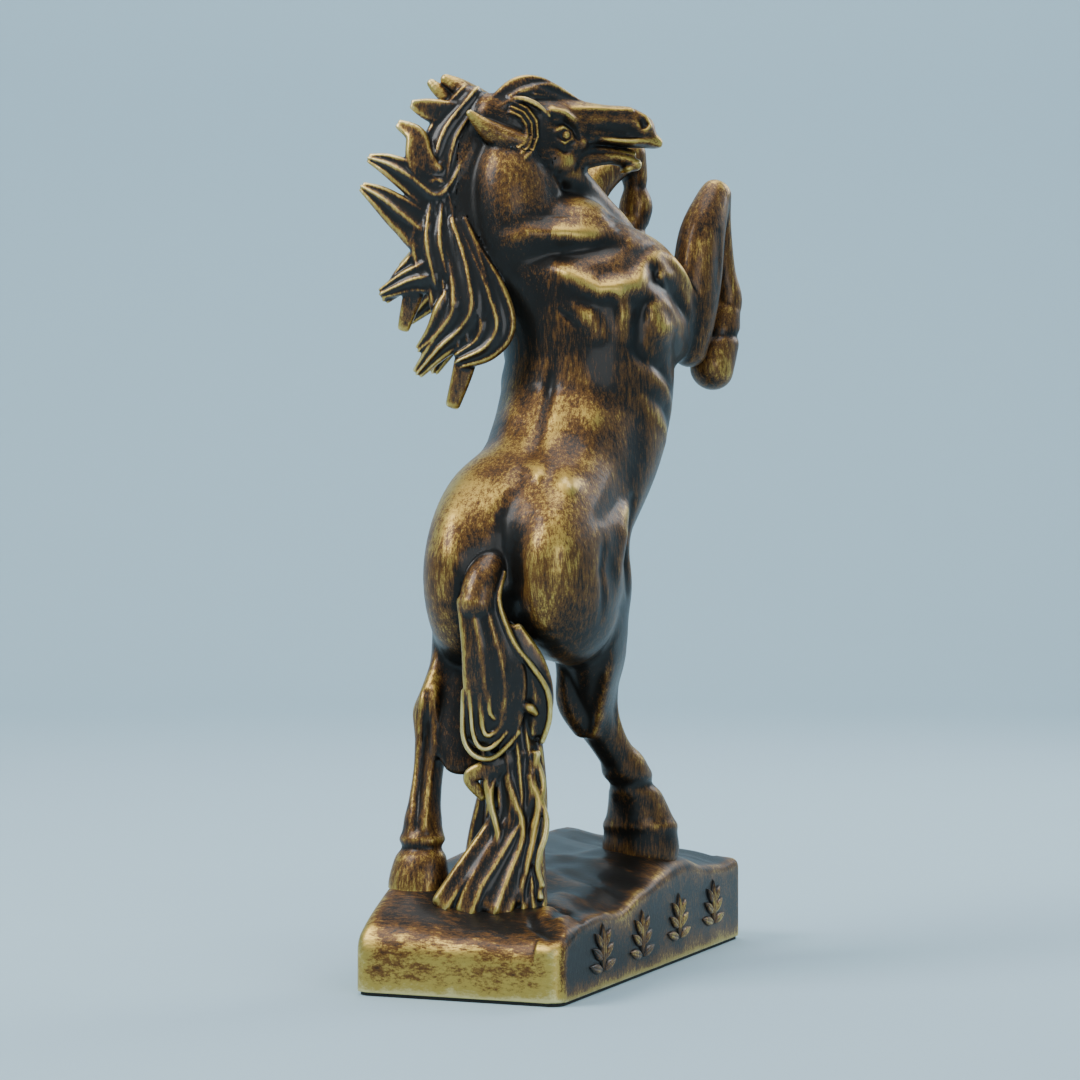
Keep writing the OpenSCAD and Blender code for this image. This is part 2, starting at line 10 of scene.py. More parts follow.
import bpy
import numpy as np
import openvdb
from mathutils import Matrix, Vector


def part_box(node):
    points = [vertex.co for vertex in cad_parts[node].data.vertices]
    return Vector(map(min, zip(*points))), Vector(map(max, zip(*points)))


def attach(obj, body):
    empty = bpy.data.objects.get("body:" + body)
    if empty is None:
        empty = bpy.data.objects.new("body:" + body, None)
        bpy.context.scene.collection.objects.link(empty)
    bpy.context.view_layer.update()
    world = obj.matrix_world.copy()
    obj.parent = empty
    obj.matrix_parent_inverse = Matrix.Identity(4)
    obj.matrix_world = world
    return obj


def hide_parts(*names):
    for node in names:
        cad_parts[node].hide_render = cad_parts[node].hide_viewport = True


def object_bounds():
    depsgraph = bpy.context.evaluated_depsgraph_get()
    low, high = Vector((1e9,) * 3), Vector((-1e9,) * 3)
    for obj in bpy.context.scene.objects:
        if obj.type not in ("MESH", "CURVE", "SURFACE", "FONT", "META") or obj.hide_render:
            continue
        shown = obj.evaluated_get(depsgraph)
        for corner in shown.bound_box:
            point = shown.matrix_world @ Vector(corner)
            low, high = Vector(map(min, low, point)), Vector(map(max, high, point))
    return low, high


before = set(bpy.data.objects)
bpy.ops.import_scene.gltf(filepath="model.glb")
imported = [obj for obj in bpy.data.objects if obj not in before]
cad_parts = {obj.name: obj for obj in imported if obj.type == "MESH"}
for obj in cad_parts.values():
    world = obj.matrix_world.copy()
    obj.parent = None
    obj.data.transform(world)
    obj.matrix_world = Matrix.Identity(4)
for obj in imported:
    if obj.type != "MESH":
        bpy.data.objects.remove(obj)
cad_low, cad_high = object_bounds()

# ---------------------------------------------------------------- overall sizes
MODEL_HEIGHT = 396.0
K = (cad_high.z - cad_low.z) * 1000.0 / MODEL_HEIGHT
MM = 0.001 * K
COARSE = 1.0
BODY_VOXEL = 0.93 * COARSE
FINE_VOXEL = 0.5 * COARSE
HEAD_VOXEL = 0.42 * COARSE
# Distance that stands for open space, in millimetres.
FAR = 30.0

# ---------------------------------------------------------------- directions
ACROSS = (0.0, 1.0, 0.0)
ALONG = (1.0, 0.0, 0.0)
UPWARD = (0.0, 0.0, 1.0)
# The mane and tail hang in a plane that faces HAIR_FACE; HAIR_OUT lies in it, and HAIR_IN against it.
HAIR_FACE = (0.927, 0.375, 0.0)
HAIR_BACK = (-0.927, -0.375, 0.0)
HAIR_OUT = (-0.375, 0.927, 0.0)
HAIR_IN = (0.375, -0.927, 0.0)
# The turned head points along MUZZLE and its right cheek faces CHEEK.
MUZZLE = (0.67, -0.74, 0.0)
CHEEK = (-0.74, -0.67, 0.0)
HEAD_MIDDLE = -22.0

CASTINGS = ["torso", "neck", "head", "left_ear", "right_ear", "forelock",
            "mane_upper", "mane_middle", "mane_lower",
            "right_foreleg", "left_foreleg", "right_hind_leg", "left_hind_leg",
            "tail_upper", "tail_lower"]


def in_hair(out, up, layer):
    """A place in the hair's plane: out to the left rear, up, and a layer forward through it."""
    return [out * HAIR_OUT[0] + layer * HAIR_FACE[0], out * HAIR_OUT[1] + layer * HAIR_FACE[1], up]


def in_head(forward, up, side=0.0):
    """A place in the head: forward along the muzzle, up, and to the right of its middle."""
    across = HEAD_MIDDLE + side
    return [forward * MUZZLE[0] + across * CHEEK[0], forward * MUZZLE[1] + across * CHEEK[1], up]


def head_path(*stations):
    """Stations along the head's middle: [forward, up, half width, half depth]."""
    return [in_head(f, z) + [w, d] for f, z, w, d in stations]


# ---------------------------------------------------------------- strokes
# A stroke is (casting, blend, side, stations[, flutes]). A station is
# [x, y, z, half width along the side, half depth across it].
BODY = [
    ("torso", 5, ACROSS, [[-34, 1, 156, 22, 24], [-24, 0, 186, 33, 33], [-2, -1, 211, 36.5, 37],
        [19, -2, 236, 38, 39.5], [27, -3, 262, 38, 41], [26, -2, 288, 37, 40], [22, 2, 306, 30, 34],
        [19, 3, 318, 23, 27]]),
    ("torso", 6, ACROSS, [[30, -6, 262, 24, 26], [44, -6, 286, 31, 22], [46, -4, 304, 28, 18]]),
    ("torso", 6, ACROSS, [[46, -4, 298, 26, 18], [50, 1, 320, 19, 17], [44, 5, 334, 14, 13],
        [30, 8, 346, 11, 11], [16, 9, 354, 9, 9]]),
    ("torso", 5, ACROSS, [[0, 1, 222, 20, 22], [-22, 1, 206, 25, 26], [-42, 1, 184, 22, 30],
        [-44, 1, 160, 18, 26]]),
    ("torso", 6, ACROSS, [[-6, 0, 196, 30, 28], [-8, 0, 174, 25, 23], [-12, 0, 160, 17, 17]]),
    ("torso", 9, ACROSS, [[-14, -13, 214, 15, 15], [-28, -17, 196, 19, 28], [-40, -20, 172, 20, 38],
        [-35, -20, 157, 18, 28], [-28, -20, 152, 14, 15]]),
    ("torso", 9, ACROSS, [[-16, 15, 214, 16, 15], [-32, 19, 197, 21, 28], [-42, 19, 172, 22, 40],
        [-40, 20, 153, 19, 31], [-38, 23, 144, 15, 22]]),
    ("torso", 7, ACROSS, [[22, -20, 312, 8, 16], [36, -28, 304, 12, 19], [50, -33, 290, 11, 16],
        [52, -33, 276, 8, 12]]),
    ("torso", 7, ACROSS, [[24, 20, 312, 8, 16], [38, 24, 308, 12, 19], [52, 25, 298, 11, 16],
        [56, 24, 284, 8, 12]]),
    ("torso", 9, ACROSS, [[-6, -24, 184, 6, 9], [-3, -24.5, 168, 8.5, 15], [-8, -23, 150, 9, 15]]),
    ("torso", 9, ACROSS, [[-6, 25, 184, 6, 9], [-4, 27, 168, 9, 15], [-14, 28, 150, 10, 15]]),
    ("neck", 5, ACROSS, [[26, 0, 288, 33, 36], [15, 17, 313, 26, 34], [8, 23, 330, 21, 28],
        [4, 25, 345, 17, 21], [4, 27, 356, 13, 14]]),
    ("neck", 7, ACROSS, [[6, 25, 342, 16, 18], [7, 27, 357, 13, 12.5], [7, 28, 368, 10, 9.5]]),
    ("neck", 4, HAIR_FACE, [in_hair(34, 374, 15) + [7, 8], in_hair(41, 360, 12) + [8, 9],
        in_hair(43, 342, 9) + [8, 9], in_hair(42, 324, 6) + [9, 9], in_hair(38, 306, 4) + [9, 8]]),
]

HEAD = [
    ("head", 4, CHEEK, head_path([-25, 375, 9, 11], [-14, 372, 12.5, 15], [1, 371.5, 12.5, 14.5],
                                 [16, 373, 10, 11.5], [29, 374, 8.2, 9.2], [40, 374.6, 7.8, 8.2],
                                 [47, 372.6, 7.2, 7.0])),
    ("head", 5, CHEEK, head_path([-16, 361, 11, 12], [-4, 358, 12, 12], [8, 358, 10, 9.5])),
    ("head", 2.5, CHEEK, head_path([8, 355.5, 8.5, 5.5], [20, 358, 6.5, 4.2], [32, 359.4, 5.2, 3.0],
                                   [40, 358.2, 4.8, 3.0], [44, 356.8, 4.2, 2.8])),
    ("head", 1.5, CHEEK, head_path([26, 366.8, 7.4, 2.2], [38, 366.4, 7.6, 2.2], [47, 367.2, 7.0, 2.6],
                                   [53.5, 367.0, 4.8, 2.4])),
    ("head", 2.5, CHEEK, head_path([44, 373, 6.8, 5], [50.5, 369.5, 5.8, 3.6], [54, 367.2, 4.6, 2.4])),
    ("head", 1.2, CHEEK, head_path([40, 354.6, 4.6, 2.0], [44, 356.6, 4.4, 2.2])),
]

EARS = [
    ("right_ear", 2, UPWARD, [[-1, 19, 362.5, 5, 6.5], [-5, 24, 364, 5.6, 6.2],
        [-9, 29, 367, 4.8, 5.0], [-12, 33, 370.5, 3.4, 3.6], [-15, 37, 375, 1.7, 1.7]]),
    ("left_ear", 2, (0.5, 0.5, 0.7), [[10, 34, 379, 8, 4], [4, 41, 384, 8, 4], [-1, 48, 389, 5.5, 3.6],
        [-4, 53.5, 392.5, 2.6, 2.4]]),
    ("left_ear", 1.5, (0.5, 0.5, 0.7), [[4, 44, 378, 6, 3.5], [-1, 51, 383, 5.5, 3.5],
        [-4, 57, 388, 3.6, 2.8], [-5, 60, 391, 2.2, 2.0]]),
]

LEGS = [
    ("right_foreleg", 3, ACROSS, [[66, -37, 274, 8, 10], [68, -38, 288, 10, 13],
        [71, -39, 306, 11, 14], [75, -40, 326, 10.5, 12], [83, -42, 342, 8, 8.5],
        [86, -42.5, 348, 6, 6]]),
    ("right_foreleg", 1.5, ACROSS, [[87, -43, 346, 7, 7.5], [91, -43.5, 332, 5.2, 5.6],
        [95, -44.5, 312, 4.9, 5.6], [97, -45, 299, 7, 7], [94, -45, 290, 6, 6]]),
    ("right_foreleg", 1, ACROSS, [[94, -45, 291, 7, 7], [91, -44, 280, 8.5, 9.5],
        [85, -41.5, 266, 10, 11]]),
    ("left_foreleg", 3, ACROSS, [[54, 22, 306, 11, 14], [62, 18, 332, 9.5, 12], [73, 12, 352, 8, 9],
        [86, 6, 364, 8, 8], [93, 2, 368, 7, 7]]),
    ("left_foreleg", 1.5, ACROSS, [[94, 2, 368, 7.5, 8], [97, 1, 358, 6.2, 6.4], [98, 1, 352, 5.4, 6],
        [99, 1, 344, 8, 8], [98, 2, 336, 6.6, 6.6]]),
    ("left_foreleg", 1, ACROSS, [[98, 2, 337, 7.5, 7.5], [94, 4, 328, 9, 9], [88, 6, 318, 11, 10]]),
    ("right_hind_leg", 4, ACROSS, [[-20, -20, 158, 14, 26], [-11, -20, 140, 13.5, 20],
        [-6, -18, 124, 10.5, 15], [-1, -17, 111, 10, 11], [6, -19.5, 100, 8.3, 8.5],
        [12, -22, 92, 8.0, 8.0], [17, -24, 85, 10.2, 10.2], [23, -25, 77, 10, 10]]),
    ("right_hind_leg", 2, ACROSS, [[-24, -13, 152, 8, 10], [-20, -11.5, 132, 5, 7],
        [-16, -11, 117, 6, 6.5], [-7, -14, 107, 6, 7]]),
    ("right_hind_leg", 1.5, ALONG, [[22, -25, 80, 10, 10], [27, -25.5, 70, 12, 12.5],
        [31, -26, 58, 14.5, 16], [32, -26, 50, 15.5, 17.5]]),
    ("left_hind_leg", 4, ACROSS, [[-34, 26, 156, 14, 24], [-40, 29, 142, 12, 19],
        [-46, 31.5, 130, 9.5, 14], [-55, 33.5, 118, 8.5, 11], [-61, 34, 106, 7.5, 8.5],
        [-66, 34, 90, 6.3, 7], [-70, 34, 76, 6.8, 7.5], [-72, 34, 67, 8, 9],
        [-74, 33.5, 60, 7.5, 8]]),
    ("left_hind_leg", 2, ACROSS, [[-58, 35, 122, 4, 6], [-62, 36, 114, 6.5, 6.5],
        [-64, 35.5, 106, 5, 6]]),
    ("left_hind_leg", 1.5, ACROSS, [[-50, 31, 142, 6, 8], [-57, 33, 130, 4.5, 6],
        [-64, 34, 117, 5.5, 6.5], [-62, 34, 107, 5.5, 6]]),
    ("left_hind_leg", 1.5, ALONG, [[-73, 33.5, 63, 8, 8.5], [-76, 33, 53, 9.5, 11],
        [-78, 33, 44, 11, 13], [-78.5, 33, 38, 11.5, 13.5]]),
    ("left_hind_leg", 3, HAIR_FACE, [[-48, 24, 138, 7, 12], [-58, 22, 118, 6, 13],
        [-65, 19, 102, 5, 12], [-69, 17, 93, 4, 8]]),
]

# A lock is (half thickness, [half width at root, middle, tip], flutes, depth, route), and its
# route is a list of [out, up, layer] places in the hair's plane.
LOCKS = {
    "mane_upper": [
        (6, [8, 10, 10], 3, 1.4, [[38, 382, 14], [49, 366, 11], [53, 347, 8], [51, 331, 5]]),
        (3, [6, 5, 1.6], 1, 1.4, [[38, 372, 12], [47, 375, 11], [58, 378, 10], [65, 380, 9]]),
        (3, [5, 6, 1.6], 1, 1.5, [[44, 362, 8], [49, 350, 5], [57, 347, 3], [62, 356, 4], [64, 366, 6],
            [71, 371, 8]]),
        (3, [5, 7, 1.6], 2, 1.5, [[42, 358, 8], [48, 345, 4], [55, 339, 2], [66, 347, 4], [76, 353, 6],
            [84, 356, 8]]),
        (3, [5, 8, 1.8], 2, 1.5, [[45, 340, 7], [50, 327, 3], [58, 322, 1], [68, 329, 2], [79, 338, 5],
            [87, 343, 7]]),
        (4, [6, 6, 2], 2, 1.2, [[42, 370, 20], [55, 366, 26], [67, 361, 29]]),
        (4, [7, 6, 2], 2, 1.2, [[44, 352, 18], [58, 345, 27], [71, 337, 30]]),
    ],
    "mane_middle": [
        (6, [10, 12, 12], 4, 1.4, [[52, 336, 6], [53, 319, 1], [50, 304, -2]]),
        (3, [6, 6, 2], 1, 1.4, [[47, 329, 3], [55, 321, 0], [63, 320, 0], [70, 325, 2]]),
        (3, [6, 7, 2], 2, 1.4, [[43, 326, 3], [46, 313, -1], [54, 304, -3], [66, 301, -2],
            [78, 296, 1]]),
        (3, [6, 6, 2], 2, 1.2, [[46, 318, 4], [58, 311, 1], [68, 303, 1], [77, 294, 3]]),
        (3.4, [5, 4, 2.2], 1, 0.8, [[52, 306, 0], [62, 301, -1], [66, 291, 0], [69, 281, 2]]),
        (4, [8, 6, 2], 2, 1.2, [[44, 324, 8], [56, 318, 21], [70, 310, 28]]),
    ],
    "mane_lower": [
        (5, [11, 12, 9], 4, 1.4, [[47, 307, -2], [44, 291, -5], [41, 275, -7]]),
        (3, [6, 7, 2], 2, 1.4, [[43, 309, -3], [43, 296, -7], [48, 285, -9], [54, 277, -8],
            [61, 271, -5]]),
        (3, [6, 8, 2], 2, 1.6, [[47, 325, -1], [43, 313, -5], [40, 300, -9], [39, 288, -11],
            [44, 279, -10], [53, 271, -8], [62, 261, -5]]),
        (3, [3, 8, 3], 2, 1.6, [[43, 322, -1], [37, 308, -6], [31, 293, -10], [28, 280, -12],
            [33, 271, -12], [43, 266, -10]]),
        (3.6, [4.5, 3.8, 2.6], 1, 0.8, [[40, 272, -8], [43, 260, -8], [47, 247, -6]]),
        (4, [8, 6, 2], 2, 1.2, [[39, 304, -1], [54, 298, 13], [67, 286, 20]]),
        (4, [7, 6, 2], 2, 1.2, [[40, 297, 2], [48, 280, 8], [56, 263, 12]]),
    ],
    "forelock": [
        (4, [5, 8, 4], 2, 0.9, [[28, 378, 8], [18, 385, 11], [9, 386, 17], [-2, 382, 24]]),
        (3, [4, 6, 3], 2, 0.9, [[12, 385, 12], [4, 384, 18], [-8, 381, 26]]),
        (1.4, [1.2, 1.5, 0.8], 1, 0, [[27, 378, 5], [19, 382, 5], [11, 380, 6], [5, 375, 8]]),
        (1.6, [1.4, 1.6, 1.0], 1, 0, [[22, 383, 6], [13, 387, 10], [4, 385, 16], [-4, 382, 22]]),
    ],
    "tail_upper": [
        (7, [6.5, 7, 8], 1, 0.0, [[22, 176, -40], [25, 178, -54], [29, 177, -62], [33, 170, -71],
            [35, 160, -75]]),
        (5, [8, 12.5, 11], 3, 0.8, [[35, 162, -75], [31, 146, -77], [28, 131, -76], [28, 117, -74],
            [31, 106, -72]]),
        (4, [5, 8, 5], 2, 0.8, [[21, 148, -72], [14, 134, -72], [11, 121, -70], [12, 108, -67]]),
        (8, [10, 12, 13], 3, 0.8, [[25, 145, -62], [25, 125, -58], [23, 108, -56]]),
        (1.5, [1.0, 1.2, 1.2], 1, 0, [[24, 173, -69], [26, 163, -77], [24, 154, -79], [19, 143, -79],
            [12, 134, -77], [6, 124, -74], [5, 113, -71], [8, 103, -68]]),
        (1.4, [0.9, 1.2, 1.0], 1, 0, [[41, 124, -75], [41, 106, -75], [37, 98, -75], [30, 96, -75],
            [24, 100, -75], [18, 107, -74]]),
        (1.2, [0.8, 1.0, 0.8], 1, 0, [[38, 124, -77], [37, 108, -77], [34, 101, -77], [29, 101, -77],
            [23, 107, -76]]),
        (1.2, [0.8, 1.0, 0.8], 1, 0, [[34, 126, -78], [33, 111, -78], [31, 106, -78], [27, 108, -77],
            [24, 113, -77]]),
        (1.2, [0.8, 0.9, 0.7], 1, 0, [[30, 134, -79], [30, 117, -79], [28, 113, -78]]),
        (2, [1.4, 2.0, 1.2], 1, 0, [[16, 118, -75], [13, 117, -75], [11, 115, -73]]),
    ],
    "tail_lower": [
        (9, [12, 12, 11], 5, 1.2, [[22, 108, -62], [20, 92, -64], [19, 76, -66], [20, 60, -69],
            [19, 45, -73], [18, 34, -75]]),
        (8, [11, 11, 10], 4, 1.2, [[20, 108, -56], [21, 94, -56], [23, 80, -58], [28, 60, -60],
            [32, 34, -64]]),
        (4, [5, 6, 6], 2, 1.0, [[20, 76, -70], [29, 62, -74], [38, 49, -78], [47, 36, -80]]),
        (4, [5, 6, 6], 2, 1.0, [[18, 68, -74], [26, 55, -78], [33, 44, -82], [37, 34, -84]]),
        (4, [5, 6, 6], 2, 1.0, [[17, 60, -76], [22, 48, -80], [27, 35, -85]]),
        (3, [3.6, 3.2, 1.6], 1, 0.6, [[20, 95, -70], [30, 92, -72], [38, 88, -72], [33, 80, -70]]),
        (2, [1.4, 1.8, 1.2], 1, 0, [[12, 98, -70], [8, 86, -71], [10, 74, -74], [12, 64, -77],
            [14, 54, -80], [18, 38, -83]]),
    ],
}

TAIL_HAIRS = 8


def lock_strokes():
    """Turns the locks into strokes: widths run evenly between root, middle and tip, and the
    thickness follows the square root of the width."""
    made = []
    for casting, locks in LOCKS.items():
        for thick, widths, flutes, depth, route in locks:
            at = np.linspace(0, 1, len(route))
            wide = np.interp(at, [0, 0.5, 1], widths)
            thin = np.maximum(thick * np.sqrt(wide / max(widths)), np.minimum(0.85 * wide, 2.6))
            stations = [in_hair(*p) + [t, w] for p, t, w in zip(route, thin, wide)]
            made.append((casting, 1.2, HAIR_FACE, stations, (flutes, depth)))
    for n in range(TAIL_HAIRS):
        # Rough twisted hairs wander down the lower tail.
        steps = np.linspace(0, 1, 9)
        out = 10 + 2.6 * n + 4 * steps * (n - 2) / 3 + 2.4 * np.sin(9 * steps + 1.9 * n)
        layer = -71 - 10 * steps + 1.2 * np.sin(7 * steps + 2.3 * n)
        stations = [in_hair(o, 98 - 5 * (n % 3) - 54 * u, d) + [1.5, 1.3]
                    for o, u, d in zip(out, steps, layer)]
        made.append(("tail_lower", 1.5, HAIR_FACE, stations))
    return made


# ---------------------------------------------------------------- relief
# Relief is drawn on a plane and pressed into whatever faces it. A line is a list of
# [across, up, height, spread], and its height and spread run evenly between its places.
BACK_RELIEF = [
    # neck, withers and shoulder blade
    [[-24, 318, 1, 4], [-14, 321, 3, 5], [0, 322, 3.4, 5], [14, 321, 1.5, 5]],
    [[-18, 308, -1, 4], [0, 312, -3.5, 5], [17, 315, -3, 5], [30, 316, 0, 4]],
    [[-4, 309, 0.5, 3], [3, 303, 2.5, 4], [17, 296, 4.2, 4.5], [33, 299, 4.4, 5], [40, 311, 2, 4],
     [42, 319, 0, 3]],
    [[43, 313, 1, 3], [47, 304, 3, 4], [50, 297, 1, 3]],
    [[26, 295, 2, 4], [29, 284, 3, 4], [30, 272, 0.5, 4]],
    [[37, 291, -1, 3], [32, 282, -2.8, 4], [32, 273, -2.2, 4], [37, 263, -0.5, 3]],
    [[42, 289, 3, 6], [47, 281, 4.5, 7]],
    [[-2, 289, 0, 1], [3, 284, -1.8, 1.2], [9, 279, 0, 1.2]],
    [[7, 288, 1, 3], [12, 284, 2.4, 4], [16, 277, 1, 4]],
    # back and loins
    [[-2, 270, 0, 2], [-5, 250, -1.8, 2.5], [-9, 232, -1.4, 3], [-14, 218, -1, 4]],
    [[8, 262, 0.5, 6], [14, 240, 1.8, 7], [12, 222, 0.5, 6]],
    [[-20, 262, 0.5, 5], [-22, 242, 1.4, 5], [-26, 224, 0.5, 5]],
    [[30, 256, 0, 5], [34, 238, -1.5, 6], [32, 222, -2, 6], [26, 206, -2.4, 6], [18, 197, -1, 5]],
    [[-12, 218, 2, 4], [-10, 216, 2, 4]],
    [[2, 212, 2.2, 4], [4, 210, 2.2, 4]],
    # haunches
    [[-18, 212, -1, 4], [-24, 196, -2.8, 5], [-24, 182, -3, 5], [-20, 170, -2, 4]],
    [[-44, 196, 0.5, 8], [-44, 180, 1.6, 8], [-42, 164, 0.5, 8]],
    [[0, 198, 0.5, 8], [2, 184, 1.6, 9], [4, 168, 0.5, 8]],
    [[18, 188, 0, 4], [21, 174, -2, 4], [26, 160, -1, 4]],
    [[31, 188, 1, 4], [33, 176, 2.4, 5], [31, 164, 1, 5]],
    # gaskins and cannons
    [[25, 150, 1, 4], [21, 128, 3.2, 3.4], [15, 102, 2.6, 2.6]],
    [[30, 130, -1, 3], [25, 112, -2.2, 3], [24, 98, -0.5, 3]],
    [[-57, 122, -1, 1.5], [-58, 100, -2.6, 1.7], [-60, 80, -2.6, 1.7], [-61, 66, -1, 1.5]],
    [[-53, 124, 1, 2], [-54, 100, 1.6, 2], [-56, 80, 1.6, 2], [-57, 66, 1, 2]],
    # right foreleg
    [[73, 336, 0, 2], [72, 314, -1.2, 2], [71, 294, 0, 2]],
]

# Both flanks, drawn as [along, up].
FLANK_RELIEF = [
    [[14, 322, 1, 5], [36, 312, 3, 5], [56, 298, 1, 4]],
    [[16, 308, -1, 4], [36, 296, -3, 4], [50, 284, -1, 4]],
    [[8, 300, 1, 5], [24, 290, 2.5, 5], [42, 274, 1, 5]],
    [[-2, 272, 0, 3], [20, 262, -1.4, 3], [38, 250, 0, 3]],
    [[0, 264, 0, 3], [22, 254, 1.0, 3], [40, 242, 0, 3]],
    [[2, 254, 0, 3], [24, 245, -1.2, 3], [38, 234, 0, 3]],
    [[4, 246, 0, 3], [24, 236, 0.9, 3], [36, 226, 0, 3]],
    [[-4, 204, -1, 4], [-12, 186, -2.5, 4], [-8, 166, -1, 4]],
    [[-12, 206, 0.5, 6], [-24, 190, 2, 6], [-34, 168, 0.5, 6]],
    [[-44, 192, 0, 3], [-50, 174, -1.6, 3], [-48, 150, 0, 3]],
    [[6, 352, 0.5, 4], [8, 334, 2.2, 4], [16, 318, 0.5, 4]],
    [[14, 350, 0, 3], [20, 334, -2.2, 3], [30, 322, -0.5, 3]],
]

# The chest and belly, drawn as [to the left, up].
CHEST_RELIEF = [
    [[-2, 332, -1, 3], [-3, 312, -3.5, 3.5], [-3, 288, -2, 3.5]],
    [[-16, 314, 1, 6], [-17, 300, 2.5, 6], [-15, 288, 1, 6]],
    [[12, 314, 1, 6], [13, 300, 2.5, 6], [11, 288, 1, 6]],
    [[-28, 276, 0, 4], [-3, 270, -2.4, 4], [22, 278, 0, 4]],
    [[0, 264, -0.5, 2.5], [0, 236, -1.5, 2.5], [0, 206, -0.5, 2.5]],
    [[-12, 254, 0.5, 5], [-13, 234, 1.5, 5], [-12, 214, 0.5, 5]],
    [[12, 254, 0.5, 5], [13, 234, 1.5, 5], [12, 214, 0.5, 5]],
]

# Both cheeks, drawn as [forward along the muzzle, up].
CHEEK_RELIEF = [
    [[-5, 376, 0.5, 1.6], [0, 378, 2.2, 2.0], [6, 377, 2.4, 2.0], [11, 374, 0.8, 1.6]],
    [[1, 371.5, -0.5, 1.4], [6, 372.5, -2.0, 1.6], [11, 369.5, -2.2, 1.8], [13, 366, -0.6, 1.4]],
    [[2, 365.2, 0.2, 0.8], [6, 363.4, 1.3, 0.8], [9.5, 365.4, 1.0, 0.8], [10, 368, 0.2, 0.8]],
    [[1, 368, 0.3, 0.8], [5, 370.4, 1.2, 0.9], [9.5, 369, 0.8, 0.8]],
    [[1, 362, -0.3, 1.2], [6, 359.8, -1.4, 1.3], [10, 361, -0.3, 1.2]],
    [[13, 363.6, 1.6, 3.0], [16, 363.4, 2.6, 3.6], [19, 364.8, 1.2, 3.0]],
    [[19, 371, -0.3, 2], [25, 371.6, -1.4, 2.4], [38, 371.4, -1.8, 2.4], [44, 370, -0.4, 2]],
    [[11, 379.6, 0.5, 1.6], [24, 380.4, 1.4, 1.6], [40, 380.8, 1.2, 1.6]],
    [[16, 359, -0.5, 1.8], [12, 352.5, -1.4, 1.8], [2, 349, -0.8, 1.8]],
    [[43, 380, 0.5, 1.1], [47, 378, 1.6, 1.2], [48.4, 373.6, 1.4, 1.2], [45.5, 370.4, 0.6, 1.1]],
    [[29, 363.6, -0.3, 1.2], [40, 363, -1.2, 1.2], [50, 362.4, -0.6, 1.2]],
]

# Folds that ring the base of each ear.
EAR_BASE = (-21.0, 367.5)
for radius in (8.5, 11.0, 13.6):
    CHEEK_RELIEF.append([[EAR_BASE[0] + radius * math.cos(t), EAR_BASE[1] + radius * math.sin(t),
                          1.6, 0.9] for t in np.radians([80, 50, 20, -10, -40, -65])])

# Joints ring a leg: (lowest corner, highest corner, up, height, spread).
RINGS = [
    ((-100, 10, 48), (-56, 54, 68), 57.5, -1.5, 2.4),
    ((-100, 10, 48), (-56, 54, 68), 61.0, 0.8, 2.2),
    ((0, -50, 68), (50, 0, 96), 79.0, -1.8, 2.8),
    ((0, -50, 52), (60, 0, 70), 60.0, 1.0, 2.5),
    ((80, -64, 270), (112, -30, 290), 281.5, -1.2, 2.2),
    ((84, -16, 322), (112, 20, 342), 333.0, -1.0, 2.0),
]

# Holes are strokes taken out of the clay.
HOLES = [
    (0.6, CHEEK, head_path([24, 363.2, 12, 0.5], [34, 363, 12, 1.3], [47, 362.4, 12, 2.2],
                           [56, 361.5, 12, 3.4])),
]
TONGUE = ("head", 0.8, CHEEK, head_path([18, 362, 6, 3], [32, 362, 4.4, 3], [42, 361.4, 3.6, 2.4]))
for cheek in (-1, 1):
    HOLES.append((0.6, UPWARD, [in_head(43.5, 378, cheek * 8.5) + [2.2, 1.5],
                                in_head(46.5, 374, cheek * 8.0) + [2.8, 1.9]]))
EYES = [in_head(6.4, 366.9, cheek * 10.7) for cheek in (-1, 1)]
EYE_RADIUS = 2.3


# ---------------------------------------------------------------- clay
def curve(stations, spacing):
    """Catmull-Rom curve through the stations, place and section together, in steps of about
    the spacing."""
    p = np.asarray(stations, float)
    rows = []
    for i in range(len(p) - 1):
        a, b, c, d = p[max(i - 1, 0)], p[i], p[i + 1], p[min(i + 2, len(p) - 1)]
        count = max(1, int(math.ceil(np.linalg.norm(c[:3] - b[:3]) / spacing)))
        t = (np.arange(count) / count)[:, None]
        rows.append(0.5 * (2 * b + (c - a) * t + (2 * a - 5 * b + 4 * c - d) * t * t
                           + (3 * b - a - 3 * c + d) * t ** 3))
    return np.vstack(rows + [p[-1:]])


def smooth_min(a, b, blend):
    """The smaller of two distances, rounded over by the blend where they are close."""
    h = np.clip(0.5 + 0.5 * (b - a) / blend, 0, 1)
    return b + (a - b) * h - blend * h * (1 - h)


